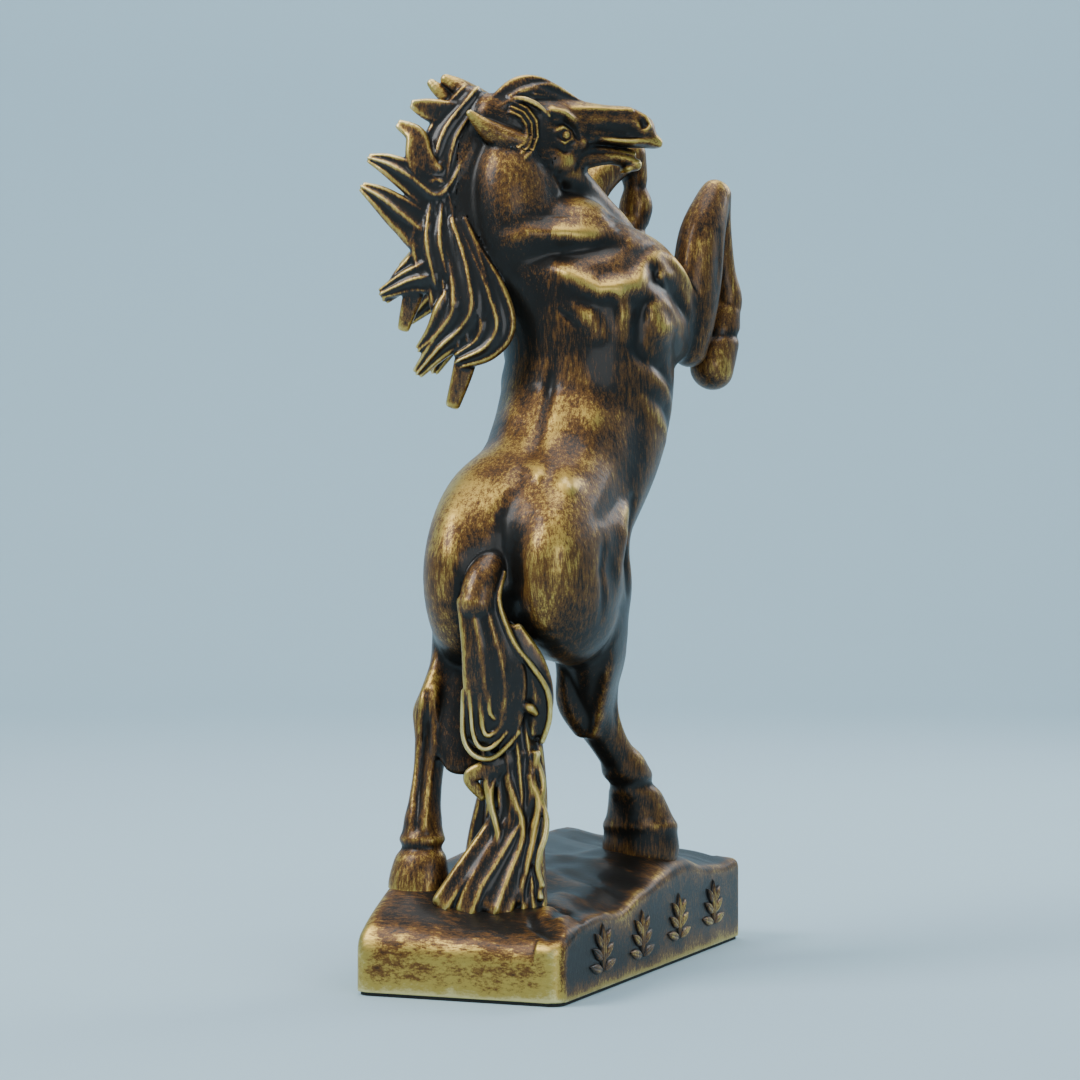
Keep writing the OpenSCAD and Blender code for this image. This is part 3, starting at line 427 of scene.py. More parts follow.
class Clay:
    """A block of space holding signed distances to the modelled skin, and who owns each place."""

    def __init__(self, low, high, voxel):
        self.low = np.asarray(low, np.float32)
        self.voxel = voxel
        self.count = (np.ceil((np.asarray(high) - low) / voxel) + 1).astype(int)
        self.skin = np.full(self.count, FAR, np.float32)
        self.closest = np.full(self.count, FAR, np.float32)
        self.owner = np.full(self.count, -1, np.int8)

    def window(self, low, high):
        """The slices that cover a box, and its three axes of coordinates, or None if outside."""
        a = np.clip(np.floor((low - self.low) / self.voxel), 0, self.count).astype(int)
        b = np.clip(np.ceil((high - self.low) / self.voxel) + 1, 0, self.count).astype(int)
        if np.any(b <= a):
            return None
        axes = [(self.low[i] + self.voxel * np.arange(a[i], b[i])).astype(np.float32)
                for i in range(3)]
        grid = (axes[0][:, None, None], axes[1][None, :, None], axes[2][None, None, :])
        return tuple(slice(a[i], b[i]) for i in range(3)), grid

    def stroke(self, side, stations, flutes, reach):
        """Distance to a stroke with elliptical sections, over the window that it reaches.

        Its curve is taken in short pieces that meet on mitre planes. A place's share along a
        piece is how far it stands between the piece's two mitres. Its distance is how far it is
        outside the ellipse there, times the ellipse's size that way. Flutes lower the distance
        by a row of cusps across the width.
        """
        p = np.asarray(stations, float)
        rows = curve(stations, max(1.5, 0.16 * p[:, 3:].min()))
        axes = np.diff(rows[:, :3], axis=0)
        lengths = np.linalg.norm(axes, axis=1)
        heads = axes / lengths[:, None]
        mitres = np.vstack([heads[:1], heads[:-1] + heads[1:], heads[-1:]])
        mitres /= np.linalg.norm(mitres, axis=1)[:, None]
        size = np.maximum(rows[:-1, 3:], rows[1:, 3:])
        cap = 0.9 * np.sqrt(size.prod(1))
        cap[[0, -1]] = size.max(1)[[0, -1]] + reach
        spans = (size.max(1) + reach)[:, None] * np.sqrt(np.maximum(0, 1 - heads ** 2))
        spans += cap[:, None] * np.abs(heads) + self.voxel
        lows = np.minimum(rows[:-1, :3], rows[1:, :3]) - spans
        highs = np.maximum(rows[:-1, :3], rows[1:, :3]) + spans
        found = self.window(lows.min(0), highs.max(0))
        if found is None:
            return None
        place, _ = found
        base = [s.start for s in place]
        total = np.full([s.stop - s.start for s in place], FAR, np.float32)
        for i, (start, end) in enumerate(zip(rows[:-1], rows[1:])):
            near = self.window(lows[i], highs[i])
            if near is None:
                continue
            cut, (x, y, z) = near
            head, length = heads[i], lengths[i]
            across = np.asarray(side, float) - head * (np.asarray(side, float) @ head)
            across /= np.linalg.norm(across)
            normal = np.cross(head, across)
            px, py, pz = x - start[0], y - start[1], z - start[2]

            def along(way):
                return px * way[0] + py * way[1] + pz * way[2]

            ahead = along(mitres[i])
            left = along(mitres[i + 1]) - float(axes[i] @ mitres[i + 1])
            t = np.clip(ahead / np.maximum(ahead - left, 0.3 * length), 0, 1)
            w = start[3] + (end[3] - start[3]) * t
            d = start[4] + (end[4] - start[4]) * t
            m = 0.9 * np.sqrt(w * d)
            wide = along(across) / w
            deep = along(normal) / d
            end_on = (along(head) - t * length) / m
            out = np.sqrt(wide ** 2 + deep ** 2 + end_on ** 2)
            slope = np.sqrt((wide / w) ** 2 + (deep / d) ** 2 + (end_on / m) ** 2)
            distance = out * (out - 1) / np.maximum(slope, 1e-4)
            if flutes and flutes[1]:
                fold = np.abs(np.sin(0.5 * math.pi * flutes[0] * (np.clip(deep, -1, 1) + 1)))
                distance -= flutes[1] * (1 - fold) * np.clip(w / 3, 0.3, 1)
            here = tuple(slice(c.start - o, c.stop - o) for c, o in zip(cut, base))
            total[here] = np.minimum(total[here], distance)
        return place, total

    def add(self, casting, blend, side, stations, flutes=None):
        """Blends a stroke into the clay for one casting."""
        made = self.stroke(side, stations, flutes, blend + 4)
        if made is None:
            return
        place, distance = made
        self.skin[place] = smooth_min(self.skin[place], distance, blend)
        nearer = distance < self.closest[place]
        self.closest[place] = np.where(nearer, distance, self.closest[place])
        self.owner[place] = np.where(nearer, CASTINGS.index(casting), self.owner[place])

    def cut(self, blend, side, stations):
        """Takes a stroke out of the clay."""
        made = self.stroke(side, stations, None, blend + 4)
        if made is not None:
            place, distance = made
            self.skin[place] = -smooth_min(-self.skin[place], distance, blend)

    def ball(self, centre, radius, blend):
        """Blends in a ball."""
        found = self.window(np.array(centre) - radius - 3, np.array(centre) + radius + 3)
        if found is None:
            return
        place, (x, y, z) = found
        away = np.sqrt((x - centre[0]) ** 2 + (y - centre[1]) ** 2 + (z - centre[2]) ** 2) - radius
        self.skin[place] = smooth_min(self.skin[place], away, blend)

    def press(self, facing, right, up, lines, within, start=0.1, both=False):
        """Presses relief into the skin that faces a direction, inside a box.

        Places are measured on the plane of right and up. The skin is raised by each line's height
        times a bell of the distance to it, and the relief fades out as the skin turns away.
        """
        low = np.maximum(np.ceil((np.array(within[0]) - self.low) / self.voxel), 1).astype(int)
        high = (np.array(within[1]) - self.low) / self.voxel
        high = np.minimum(high, self.count - 2).astype(int)
        if np.any(high <= low):
            return
        s = self.skin
        block = s[low[0]:high[0], low[1]:high[1], low[2]:high[2]]
        i, j, k = (n + o for n, o in zip(np.nonzero(np.abs(block) < 5.5), low))
        p = self.low + self.voxel * np.stack([i, j, k], 1)
        gradient = np.stack([s[i + 1, j, k] - s[i - 1, j, k], s[i, j + 1, k] - s[i, j - 1, k],
                             s[i, j, k + 1] - s[i, j, k - 1]], 1)
        gradient /= np.linalg.norm(gradient, axis=1)[:, None] + 1e-6
        turn = gradient @ np.array(facing)
        turn = np.abs(turn) if both else turn
        fade = np.clip((turn - start) / 0.3, 0, 1)
        shown = fade > 0
        i, j, k, p, fade = i[shown], j[shown], k[shown], p[shown], fade[shown]
        flat = np.stack([p @ np.array(right), p @ np.array(up)], 1)
        rise = sum(line_rise(flat, line) for line in lines)
        self.skin[i, j, k] -= (rise * fade).astype(np.float32)

    def ring(self, low, high, up, height, spread):
        """Raises or sinks a level ring round whatever stands in a box."""
        found = self.window(np.array(low, float), np.array(high, float))
        if found is not None:
            place, (_, _, z) = found
            self.skin[place] -= height * np.exp(-((z - up) / spread) ** 2)

    def blurred(self, size):
        """How full the clay is round each place: solid share, averaged three times over a box."""
        full = np.clip(0.5 - self.skin / self.voxel, 0, 1)
        half = max(1, int(round(size / self.voxel)))
        for axis in (0, 1, 2):
            for _ in range(2):
                full = box_average(full, half, axis)
        return full

    def sample(self, values, p):
        """Values at scattered places, mixed from the eight corners round each."""
        g = np.clip((p - self.low) / self.voxel, 0, self.count - 1.001)
        i = g.astype(int)
        f = g - i
        total = 0
        for corner in np.ndindex(2, 2, 2):
            weight = np.prod(np.where(corner, f, 1 - f), axis=1)
            j = i + np.array(corner)
            total = total + weight * values[j[:, 0], j[:, 1], j[:, 2]]
        return total


def box_average(values, half, axis):
    """Average over 2 * half + 1 neighbours along an axis, from differences of a running sum."""
    moved = np.moveaxis(values, axis, 0)
    padded = np.concatenate([np.repeat(moved[:1], half + 1, 0), moved, np.repeat(moved[-1:], half, 0)])
    total = np.cumsum(padded, axis=0, dtype=np.float32)
    width = 2 * half + 1
    return np.moveaxis((total[width:] - total[:-width]) / width, 0, axis)


def line_rise(p, line):
    """Relief of one line at places on a plane: over its straight pieces, the strongest of
    height times a bell of distance over spread."""
    r = np.asarray(line, float)
    rise = np.zeros(len(p))
    for a, b in zip(r[:-1], r[1:]):
        along = b[:2] - a[:2]
        t = np.clip((p - a[:2]) @ along / (along @ along), 0, 1)
        away = np.linalg.norm(p - a[:2] - t[:, None] * along, axis=1)
        height = a[2] + (b[2] - a[2]) * t
        spread = a[3] + (b[3] - a[3]) * t
        made = height * np.exp(-(away / spread) ** 2)
        rise = np.where(np.abs(made) > np.abs(rise), made, rise)
    return rise


def plinth_top(x, y):
    """Height of the plinth's top: a slope that rises forward from the rear edge, humps under the
    hooves and hollows between them."""
    def hump(cx, cy, rx, ry):
        return np.exp(-((x - cx) / rx) ** 2 - ((y - cy) / ry) ** 2)
    rise = (12.5 + 0.15 * (y + 45)) * (1 - np.exp(-(x + 114) / 28))
    rough = 0.7 * np.sin(x / 9.0 + 1.7 * np.sin(y / 11.0)) * np.sin(y / 8.0 + 1.3 * np.sin(x / 14.0))
    return (24.5 + rise + 12 * hump(33, -26, 27, 24) + 3 * hump(-79, 33, 20, 18)
            - 6 * hump(-48, -42, 22, 14) - 5 * hump(-46, -10, 16, 12) + rough)


def model(low, high, voxel):
    """Fills a block with the whole statue's clay, as far as it reaches into the block."""
    clay = Clay(low, high, voxel)
    for part in BODY + LEGS + HEAD:
        clay.add(*part)
    for hole in HOLES:
        clay.cut(*hole)
    clay.add(*TONGUE)
    clay.press(HAIR_BACK, HAIR_IN, UPWARD, BACK_RELIEF, ((-110, -70, 60), (80, 60, 330)))
    clay.press(ACROSS, ALONG, UPWARD, FLANK_RELIEF, ((-90, -60, 130), (70, 60, 352)), 0.65, True)
    clay.press(ALONG, ACROSS, UPWARD, CHEST_RELIEF, ((10, -60, 190), (90, 60, 345)), 0.3)
    clay.press(CHEEK, MUZZLE, UPWARD, CHEEK_RELIEF, ((-40, -60, 345), (80, 60, 390)), 0.2, True)
    for ring in RINGS:
        clay.ring(*ring)
    for part in EARS:
        clay.add(*part)
    for centre in EYES:
        clay.ball(centre, EYE_RADIUS, 0.4)
    for part in lock_strokes():
        clay.add(*part)
    # Hooves and tail go a little way into the plinth and stop.
    x, y, z = clay.window(low, high)[1]
    clay.skin = np.maximum(clay.skin, (plinth_top(x, y) - 2.5 - z)).astype(np.float32)
    return clay


# ---------------------------------------------------------------- meshes
def skin_mesh(clay):
    """The clay's skin: places, outward four-sided faces, their owners, and values at the places.

    Ridge and swell are how far the skin stands proud of the clay around it, near and wide. Lift
    is how far the skin faces up; the patina uses it to paint light on top and shade underneath.
    """
    grid = openvdb.FloatGrid(FAR)
    grid.copyFromArray(clay.skin)
    points, quads = grid.convertToQuads(0.0)
    p = clay.low + clay.voxel * points
    a, b, c = p[quads[:, 0]], p[quads[:, 1]], p[quads[:, 2]]
    normal = np.cross(b - a, c - a)
    centre = p[quads].mean(1)
    unit = normal / (np.linalg.norm(normal, axis=1)[:, None] + 1e-9)
    outside = clay.sample(clay.skin, centre + unit * clay.voxel)
    inside = clay.sample(clay.skin, centre - unit * clay.voxel)
    if np.mean(outside - inside) < 0:
        quads = quads[:, ::-1]
    where = np.clip(np.round((centre - clay.low) / clay.voxel).astype(int), 0, clay.count - 1)
    owner = clay.owner[where[:, 0], where[:, 1], where[:, 2]]
    ridge = 0.5 - clay.sample(clay.blurred(1.1), p)
    swell = 0.5 - clay.sample(clay.blurred(5.5), p)
    steps = np.eye(3) * clay.voxel
    slope = np.stack([clay.sample(clay.skin, p + step) - clay.sample(clay.skin, p - step)
                      for step in steps], 1)
    # Lift drives painted light on skin that faces up and painted shade on skin that faces down.
    lift = slope[:, 2] / (np.linalg.norm(slope, axis=1) + 1e-6)
    return p, quads, owner, {"ridge": ridge, "swell": swell, "lift": lift}


def islands(count, edges):
    """Labels of connected places, found by handing the smallest label along the edges."""
    label = np.arange(count)
    while True:
        low = np.minimum(label[edges[:, 0]], label[edges[:, 1]])
        fresh = label.copy()
        np.minimum.at(fresh, edges[:, 0], low)
        np.minimum.at(fresh, edges[:, 1], low)
        fresh = fresh[fresh]
        if np.array_equal(fresh, label):
            return label
        label = fresh


def quad_edges(quads):
    """The four directed edges of every face."""
    return np.concatenate([quads[:, [i, (i + 1) % 4]] for i in range(4)])


def capped(p, quads):
    """Closes an open skin: each open rim is drawn to its own middle by a fan of triangles."""
    directed = quad_edges(quads)
    key = directed.min(1).astype(np.int64) * len(p) + directed.max(1)
    _, first, times = np.unique(key, return_index=True, return_counts=True)
    rim = directed[first[times == 1]]
    if not len(rim):
        return p, np.zeros((0, 3), int), rim
    label = islands(len(p), rim)[rim[:, 0]]
    names, group = np.unique(label, return_inverse=True)
    middle = np.zeros((len(names), 3))
    np.add.at(middle, group, p[rim[:, 0]])
    middle /= np.bincount(group)[:, None]
    fans = np.stack([rim[:, 1], rim[:, 0], len(p) + group], 1)
    return np.vstack([p, middle]), fans, rim


def new_piece(name, p, faces, material, attributes=(), sharp=()):
    """A smooth mesh object from places in millimetres, which rides the root body.

    The sharp pairs of places are edges that are not shaded over.
    """
    mesh = bpy.data.meshes.new(name)
    mesh.from_pydata((p * MM).astype(np.float32), [], faces)
    mesh.polygons.foreach_set("use_smooth", np.ones(len(mesh.polygons), bool))
    if len(sharp):
        pairs = np.zeros(len(mesh.edges) * 2, np.int32)
        mesh.edges.foreach_get("vertices", pairs)
        pairs = np.sort(pairs.reshape(-1, 2), axis=1).astype(np.int64)
        rim = np.sort(np.asarray(sharp), axis=1).astype(np.int64)
        hard = np.isin(pairs[:, 0] * len(p) + pairs[:, 1], rim[:, 0] * len(p) + rim[:, 1])
        mesh.attributes.new("sharp_edge", "BOOLEAN", "EDGE").data.foreach_set("value", hard)
    for label, values in attributes:
        mesh.attributes.new(label, "FLOAT", "POINT").data.foreach_set(
            "value", np.asarray(values, np.float32))
    mesh.materials.append(material)
    piece = bpy.data.objects.new(name, mesh)
    bpy.context.scene.collection.objects.link(piece)
    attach(piece, "root")
    return piece


# Loose islands under this share of a casting are dropped, and the faces that close a casting
# are as dark as a deep hollow.
SMALLEST_ISLAND = 0.02
COVERED = -0.3


def cast(clay, wanted, materials):
    """Cuts the clay's skin into the wanted castings and closes each one."""
    p, quads, owner, values = skin_mesh(clay)
    for name in wanted:
        own = quads[owner == CASTINGS.index(name)]
        label = islands(len(p), quad_edges(own))[own[:, 0]]
        names, group, size = np.unique(label, return_inverse=True, return_counts=True)
        own = own[size[group] > SMALLEST_ISLAND * len(own)]
        used, local = np.unique(own, return_inverse=True)
        local = local.reshape(own.shape)
        places, fans, rim = capped(p[used], local)
        extra = len(places) - len(used)
        shown = [(label, np.concatenate([value[used], np.full(extra, COVERED)]))
                 for label, value in values.items()]
        material, slot = materials[name]
        piece = new_piece(name + "_casting", places, local.tolist() + fans.tolist(), material,
                          shown, rim)
        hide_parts(name)


# ---------------------------------------------------------------- materials
def node_group(name, inputs, outputs):
    """An empty shader group with named sockets."""
    group = bpy.data.node_groups.new(name, "ShaderNodeTree")
    for label, kind, value in inputs:
        made = group.interface.new_socket(label, in_out="INPUT", socket_type=kind)
        if value is not None:
            made.default_value = value
    for label, kind in outputs:
        group.interface.new_socket(label, in_out="OUTPUT", socket_type=kind)
    return group, group.nodes.new("NodeGroupInput"), group.nodes.new("NodeGroupOutput")


def math_node(tree, operation, a, b=None, c=None, clamp=False):
    """A Math node fed by sockets or numbers; returns its result."""
    node = tree.nodes.new("ShaderNodeMath")
    node.operation = operation
    node.use_clamp = clamp
    for socket, value in zip(node.inputs, (a, b, c)):
        if isinstance(value, bpy.types.NodeSocket):
            tree.links.new(value, socket)
        elif value is not None:
            socket.default_value = value
    return node.outputs[0]


def noise_node(tree, vector, scale, detail=4.0, rough=0.6, stretch=(1, 1, 1), turn=(0, 0, 0)):
    """Noise on a turned and stretched copy of the coordinates; returns its value."""
    mapping = tree.nodes.new("ShaderNodeMapping")
    mapping.inputs["Scale"].default_value = stretch
    mapping.inputs["Rotation"].default_value = turn
    tree.links.new(vector, mapping.inputs["Vector"])
    noise = tree.nodes.new("ShaderNodeTexNoise")
    noise.inputs["Scale"].default_value = scale
    noise.inputs["Detail"].default_value = detail
    noise.inputs["Roughness"].default_value = rough
    tree.links.new(mapping.outputs["Vector"], noise.inputs["Vector"])
    return noise.outputs["Fac"]


def step_node(tree, value, low, high):
    """A smooth step from 0 to 1 between two values."""
    node = tree.nodes.new("ShaderNodeMapRange")
    node.interpolation_type = "SMOOTHSTEP"
    node.inputs["From Min"].default_value = low
    node.inputs["From Max"].default_value = high
    tree.links.new(value, node.inputs["Value"])
    return node.outputs["Result"]


def mix_colour(tree, factor, a, b):
    """A colour mix; a and b are sockets or colours."""
    node = tree.nodes.new("ShaderNodeMix")
    node.data_type = "RGBA"
    tree.links.new(factor, node.inputs["Factor"])
    for socket, value in ((node.inputs[6], a), (node.inputs[7], b)):
        if isinstance(value, bpy.types.NodeSocket):
            tree.links.new(value, socket)
        else:
            socket.default_value = value
    return node.outputs[2]


PATINA_BLACK = (0.012, 0.010, 0.008, 1)
GLAZE_BROWN = (0.15, 0.062, 0.014, 1)
GOLD = (0.56, 0.37, 0.085, 1)
PALE_GOLD = (0.86, 0.68, 0.30, 1)
# Depths of the brush marks and of the plain finishes' grain, in metres.
BRUSH_DEPTH = 0.0004
GRAIN_DEPTH = 0.0003


def build_patina():
    """Antiqued bronze: gold rubbed over raised forms in streaks, brown glaze at its edges, black
    patina in the hollows, and painted light and shade by facing: a positive Lift Weight paints skin that
    faces up lighter and skin that faces down darker."""
    group, given, result = node_group(
        "antique_patina",
        [("Vector", "NodeSocketVector", None), ("Streak Vector", "NodeSocketVector", None),
         ("Ridge", "NodeSocketFloat", 0.0), ("Swell", "NodeSocketFloat", 0.0),
         ("Ridge Weight", "NodeSocketFloat", 2.0), ("Swell Weight", "NodeSocketFloat", 2.0),
         ("Lift", "NodeSocketFloat", 0.0), ("Lift Weight", "NodeSocketFloat", 0.3),
         ("Rub", "NodeSocketFloat", 0.0)],
        [("Color", "NodeSocketColor"), ("Metallic", "NodeSocketFloat"),
         ("Roughness", "NodeSocketFloat"), ("Height", "NodeSocketFloat")])
    i = given.outputs
    clouds = noise_node(group, i["Vector"], 32, 3, 0.55)
    streaks = noise_node(group, i["Streak Vector"], 700, 4, 0.65)
    fine = noise_node(group, i["Streak Vector"], 2200, 3, 0.6)
    specks = noise_node(group, i["Vector"], 1500, 2, 0.6)
    form = math_node(group, "MULTIPLY", i["Swell"], i["Swell Weight"])
    form = math_node(group, "MULTIPLY_ADD", i["Ridge"], i["Ridge Weight"], form)
    # Painted light and shade by facing: a positive Lift Weight lightens skin that faces up and darkens
    # skin that faces down, partly painted shade and partly patina gathered under the forms.
    form = math_node(group, "MULTIPLY_ADD", i["Lift"], i["Lift Weight"], form)
    form = math_node(group, "ADD", form, i["Rub"])
    uneven = math_node(group, "MULTIPLY_ADD", math_node(group, "SUBTRACT", clouds, 0.5), 1.3, form)
    brushed = math_node(group, "MULTIPLY_ADD", math_node(group, "SUBTRACT", streaks, 0.5), 1.1, uneven)
    brushed = math_node(group, "MULTIPLY_ADD", math_node(group, "SUBTRACT", fine, 0.5), 0.8, brushed)
    brushed = math_node(group, "MULTIPLY_ADD", math_node(group, "SUBTRACT", specks, 0.5), 0.35, brushed)
    glaze = step_node(group, brushed, -0.34, 0.10)
    gold = step_node(group, brushed, 0.02, 0.40)
    pale = step_node(group, brushed, 0.45, 1.1)
    colour = mix_colour(group, glaze, PATINA_BLACK, GLAZE_BROWN)
    colour = mix_colour(group, gold, colour, GOLD)
    colour = mix_colour(group, pale, colour, PALE_GOLD)
    group.links.new(colour, result.inputs["Color"])
    group.links.new(math_node(group, "MULTIPLY_ADD", gold, 0.75, 0.2), result.inputs["Metallic"])
    rough = math_node(group, "MULTIPLY_ADD", specks, 0.12, 0.30)
    group.links.new(math_node(group, "MULTIPLY_ADD", streaks, 0.12, rough), result.inputs["Roughness"])
    height = math_node(group, "MULTIPLY_ADD", fine, 0.5, streaks)
    group.links.new(math_node(group, "MULTIPLY_ADD", specks, 0.35, height), result.inputs["Height"])
    return group


def attribute(tree, name):
    """The value of a mesh attribute."""
    node = tree.nodes.new("ShaderNodeAttribute")
    node.attribute_name = name
    return node.outputs["Fac"]


def bronze(name, patina, ridge_weight, swell_weight, rub, stretch, turn=(0, 0, 0), bump=0.25,
           coat=0.18, lift_weight=0.3):
    """One antiqued bronze finish; stretch and turn set the way it was brushed, and lift_weight how much
    light and shade it paints by which way the skin faces.
    """
    material = bpy.data.materials.new(name)
    material.use_nodes = True
    tree = material.node_tree
    shader = tree.nodes["Principled BSDF"]
    where = tree.nodes.new("ShaderNodeTexCoord").outputs["Object"]
    mapping = tree.nodes.new("ShaderNodeMapping")
    mapping.inputs["Scale"].default_value = stretch
    mapping.inputs["Rotation"].default_value = turn
    tree.links.new(where, mapping.inputs["Vector"])
    made = tree.nodes.new("ShaderNodeGroup")
    made.node_tree = patina
    tree.links.new(where, made.inputs["Vector"])
    tree.links.new(mapping.outputs["Vector"], made.inputs["Streak Vector"])
    for form in ("Ridge", "Swell", "Lift"):
        tree.links.new(attribute(tree, form.lower()), made.inputs[form])
    # The lift weight sets the painted light on up-facing skin and the painted shade on down-facing skin.
    made.inputs["Lift Weight"].default_value = lift_weight
    made.inputs["Ridge Weight"].default_value = ridge_weight
    made.inputs["Swell Weight"].default_value = swell_weight
    made.inputs["Rub"].default_value = rub
    tree.links.new(made.outputs["Color"], shader.inputs["Base Color"])
    tree.links.new(made.outputs["Metallic"], shader.inputs["Metallic"])
    tree.links.new(made.outputs["Roughness"], shader.inputs["Roughness"])
    lift = tree.nodes.new("ShaderNodeBump")
    lift.inputs["Strength"].default_value = bump
    lift.inputs["Distance"].default_value = BRUSH_DEPTH
    tree.links.new(made.outputs["Height"], lift.inputs["Height"])
    tree.links.new(lift.outputs["Normal"], shader.inputs["Normal"])
    shader.inputs["Specular IOR Level"].default_value = 0.2
    shader.inputs["Coat Weight"].default_value = coat
    shader.inputs["Coat Roughness"].default_value = 0.16
    return material


def plain(name, colour, roughness, metallic, scale, contrast, bump):
    """A hidden or minor finish: one colour varied by noise, with a fine bump."""
    material = bpy.data.materials.new(name)
    material.use_nodes = True
    tree = material.node_tree
    shader = tree.nodes["Principled BSDF"]
    where = tree.nodes.new("ShaderNodeTexCoord").outputs["Object"]
    grain = noise_node(tree, where, scale, 5, 0.65)
    dark = tuple(c * (1 - contrast) for c in colour) + (1,)
    light = tuple(min(1, c * (1 + contrast)) for c in colour) + (1,)
    tree.links.new(mix_colour(tree, grain, dark, light), shader.inputs["Base Color"])
    tree.links.new(math_node(tree, "MULTIPLY_ADD", grain, 0.2, roughness - 0.1),
                   shader.inputs["Roughness"])
    shader.inputs["Metallic"].default_value = metallic
    lift = tree.nodes.new("ShaderNodeBump")
    lift.inputs["Strength"].default_value = bump
    lift.inputs["Distance"].default_value = GRAIN_DEPTH
    tree.links.new(grain, lift.inputs["Height"])
    tree.links.new(lift.outputs["Normal"], shader.inputs["Normal"])
    return material


patina = build_patina()
# The castings' finishes keep the default lift weight of 0.3, which paints light on skin that faces up and
# shade on skin that faces down; the plinth's finish turns it round so that its top is darker.
body_bronze = bronze("body_bronze", patina, 1.5, 3.6, -0.27, (1, 1, 0.14), (0.25, 0.2, 0))
neck_bronze = bronze("neck_bronze", patina, 1.5, 2.2, -0.36, (1, 1, 0.5), bump=0.5)
foreleg_bronze = bronze("foreleg_bronze", patina, 1.8, 1.1, -0.24, (1, 1, 0.14))
hind_leg_bronze = bronze("hind_leg_bronze", patina, 2.4, 1.1, -0.30, (1, 1, 0.14))
head_bronze = bronze("head_bronze", patina, 2.8, 0.9, -0.20, (0.5, 0.5, 1))
hair_bronze = bronze("hair_bronze", patina, 5.4, 0.8, -0.46, (1, 1, 0.3), coat=0.45)
tail_bronze = bronze("tail_bronze", patina, 5.0, 0.8, -0.30, (1, 1, 0.2), coat=0.35)
plinth_bronze = bronze("plinth_bronze", patina, 2.0, 2.4, 0.06, (1, 0.22, 0.5), (0.9, 0, 0.5),
                       coat=0.08, lift_weight=-0.40)
relief_bronze = bronze("relief_bronze", patina, 2.5, 1.0, -0.28, (1, 1, 0.3))
steel = plain("zinc_steel", (0.62, 0.64, 0.66), 0.35, 1.0, 900, 0.12, 0.1)
fibreboard = plain("fibreboard", (0.55, 0.42, 0.27), 0.75, 0.0, 1400, 0.25, 0.3)
felt = plain("felt", (0.025, 0.024, 0.022), 0.95, 0.0, 2400, 0.4, 0.6)

FINISHES = {name: (body_bronze, "body_bronze") for name in CASTINGS}
for name in ("forelock", "mane_upper", "mane_middle", "mane_lower", "tail_upper", "tail_lower"):
    FINISHES[name] = (tail_bronze if name.startswith("tail") else hair_bronze, "hair_bronze")
for name in ("head", "left_ear", "right_ear"):
    FINISHES[name] = (head_bronze, "body_bronze")
FINISHES["neck"] = (neck_bronze, "body_bronze")
for side in ("right", "left"):
    FINISHES[side + "_foreleg"] = (foreleg_bronze, "body_bronze")
    FINISHES[side + "_hind_leg"] = (hind_leg_bronze, "body_bronze")

for node, finish in (("base_board", fibreboard), ("base_felt", felt), ("board_screws", steel),
                     ("mounting_studs", steel), ("stud_washers", steel), ("stud_nuts", steel),
                     ("neck_dowels", steel), ("foreleg_dowels", steel),
                     ("hind_leg_dowels", steel), ("tail_dowel", steel)):
    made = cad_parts[node]
    made.data.materials.clear()
    made.data.materials.append(finish)

# ---------------------------------------------------------------- castings
HEAD_BLOCK = ((-40, -48, 336), (68, 68, 399))
MANE_BLOCK = ((-46, 0, 236), (44, 96, 399))
TAIL_BLOCK = ((-104, -44, 18), (-38, 46, 190))
BODY_BLOCK = ((-108, -66, 28), (114, 66, 392))

HEAD_PIECES = ["head", "left_ear", "right_ear", "forelock"]
MANE_PIECES = ["mane_upper", "mane_middle", "mane_lower"]
TAIL_PIECES = ["tail_upper", "tail_lower"]
BODY_PIECES = ["torso", "neck", "right_foreleg", "left_foreleg", "right_hind_leg", "left_hind_leg"]

for block, voxel, wanted in ((HEAD_BLOCK, HEAD_VOXEL, HEAD_PIECES),
                             (MANE_BLOCK, FINE_VOXEL, MANE_PIECES),
                             (TAIL_BLOCK, FINE_VOXEL, TAIL_PIECES),
                             (BODY_BLOCK, BODY_VOXEL, BODY_PIECES)):
    cast(model(np.array(block[0], float), np.array(block[1], float), voxel), wanted, FINISHES)


# ---------------------------------------------------------------- plinth
# The plinth's rocks, drawn as [along, to the left].
ROCK_RELIEF = [
    [[-108, -38, -1, 2], [-99, -28, -3, 2.6], [-92, -24, -1, 2]],
    [[-104, -42, 1, 3], [-96, -38, 2.4, 3.4], [-86, -38, 1, 3]],
    [[-92, -30, 1.6, 3], [-84, -27, 2.2, 3], [-78, -30, 0.5, 3]],
    [[-88, -44, -0.5, 2], [-80, -34, -2, 2.4], [-74, -22, -0.5, 2]],
    [[-60, -44, 0.5, 4], [-50, -20, 1.6, 5], [-36, 4, 0.5, 4]],
    [[-30, -44, 0, 3], [-22, -24, -1.6, 4], [-10, 0, -0.5, 4]],
    [[0, -40, 0.5, 4], [8, -6, 1.4, 5], [20, 30, 0.5, 4]],
    [[62, -44, 0, 4], [68, -14, -1.6, 4], [78, 24, -0.5, 4]],
    [[88, -38, 0.5, 4], [92, -6, 1.2, 5], [98, 28, 0.5, 4]],
]

# Roundings of the plinth's upright corners and of the edge of its top, which is tighter on the
# right.
PLINTH_CORNER = 6.0
PLINTH_SHOULDER = 9.0
RIGHT_SHOULDER = 4.0


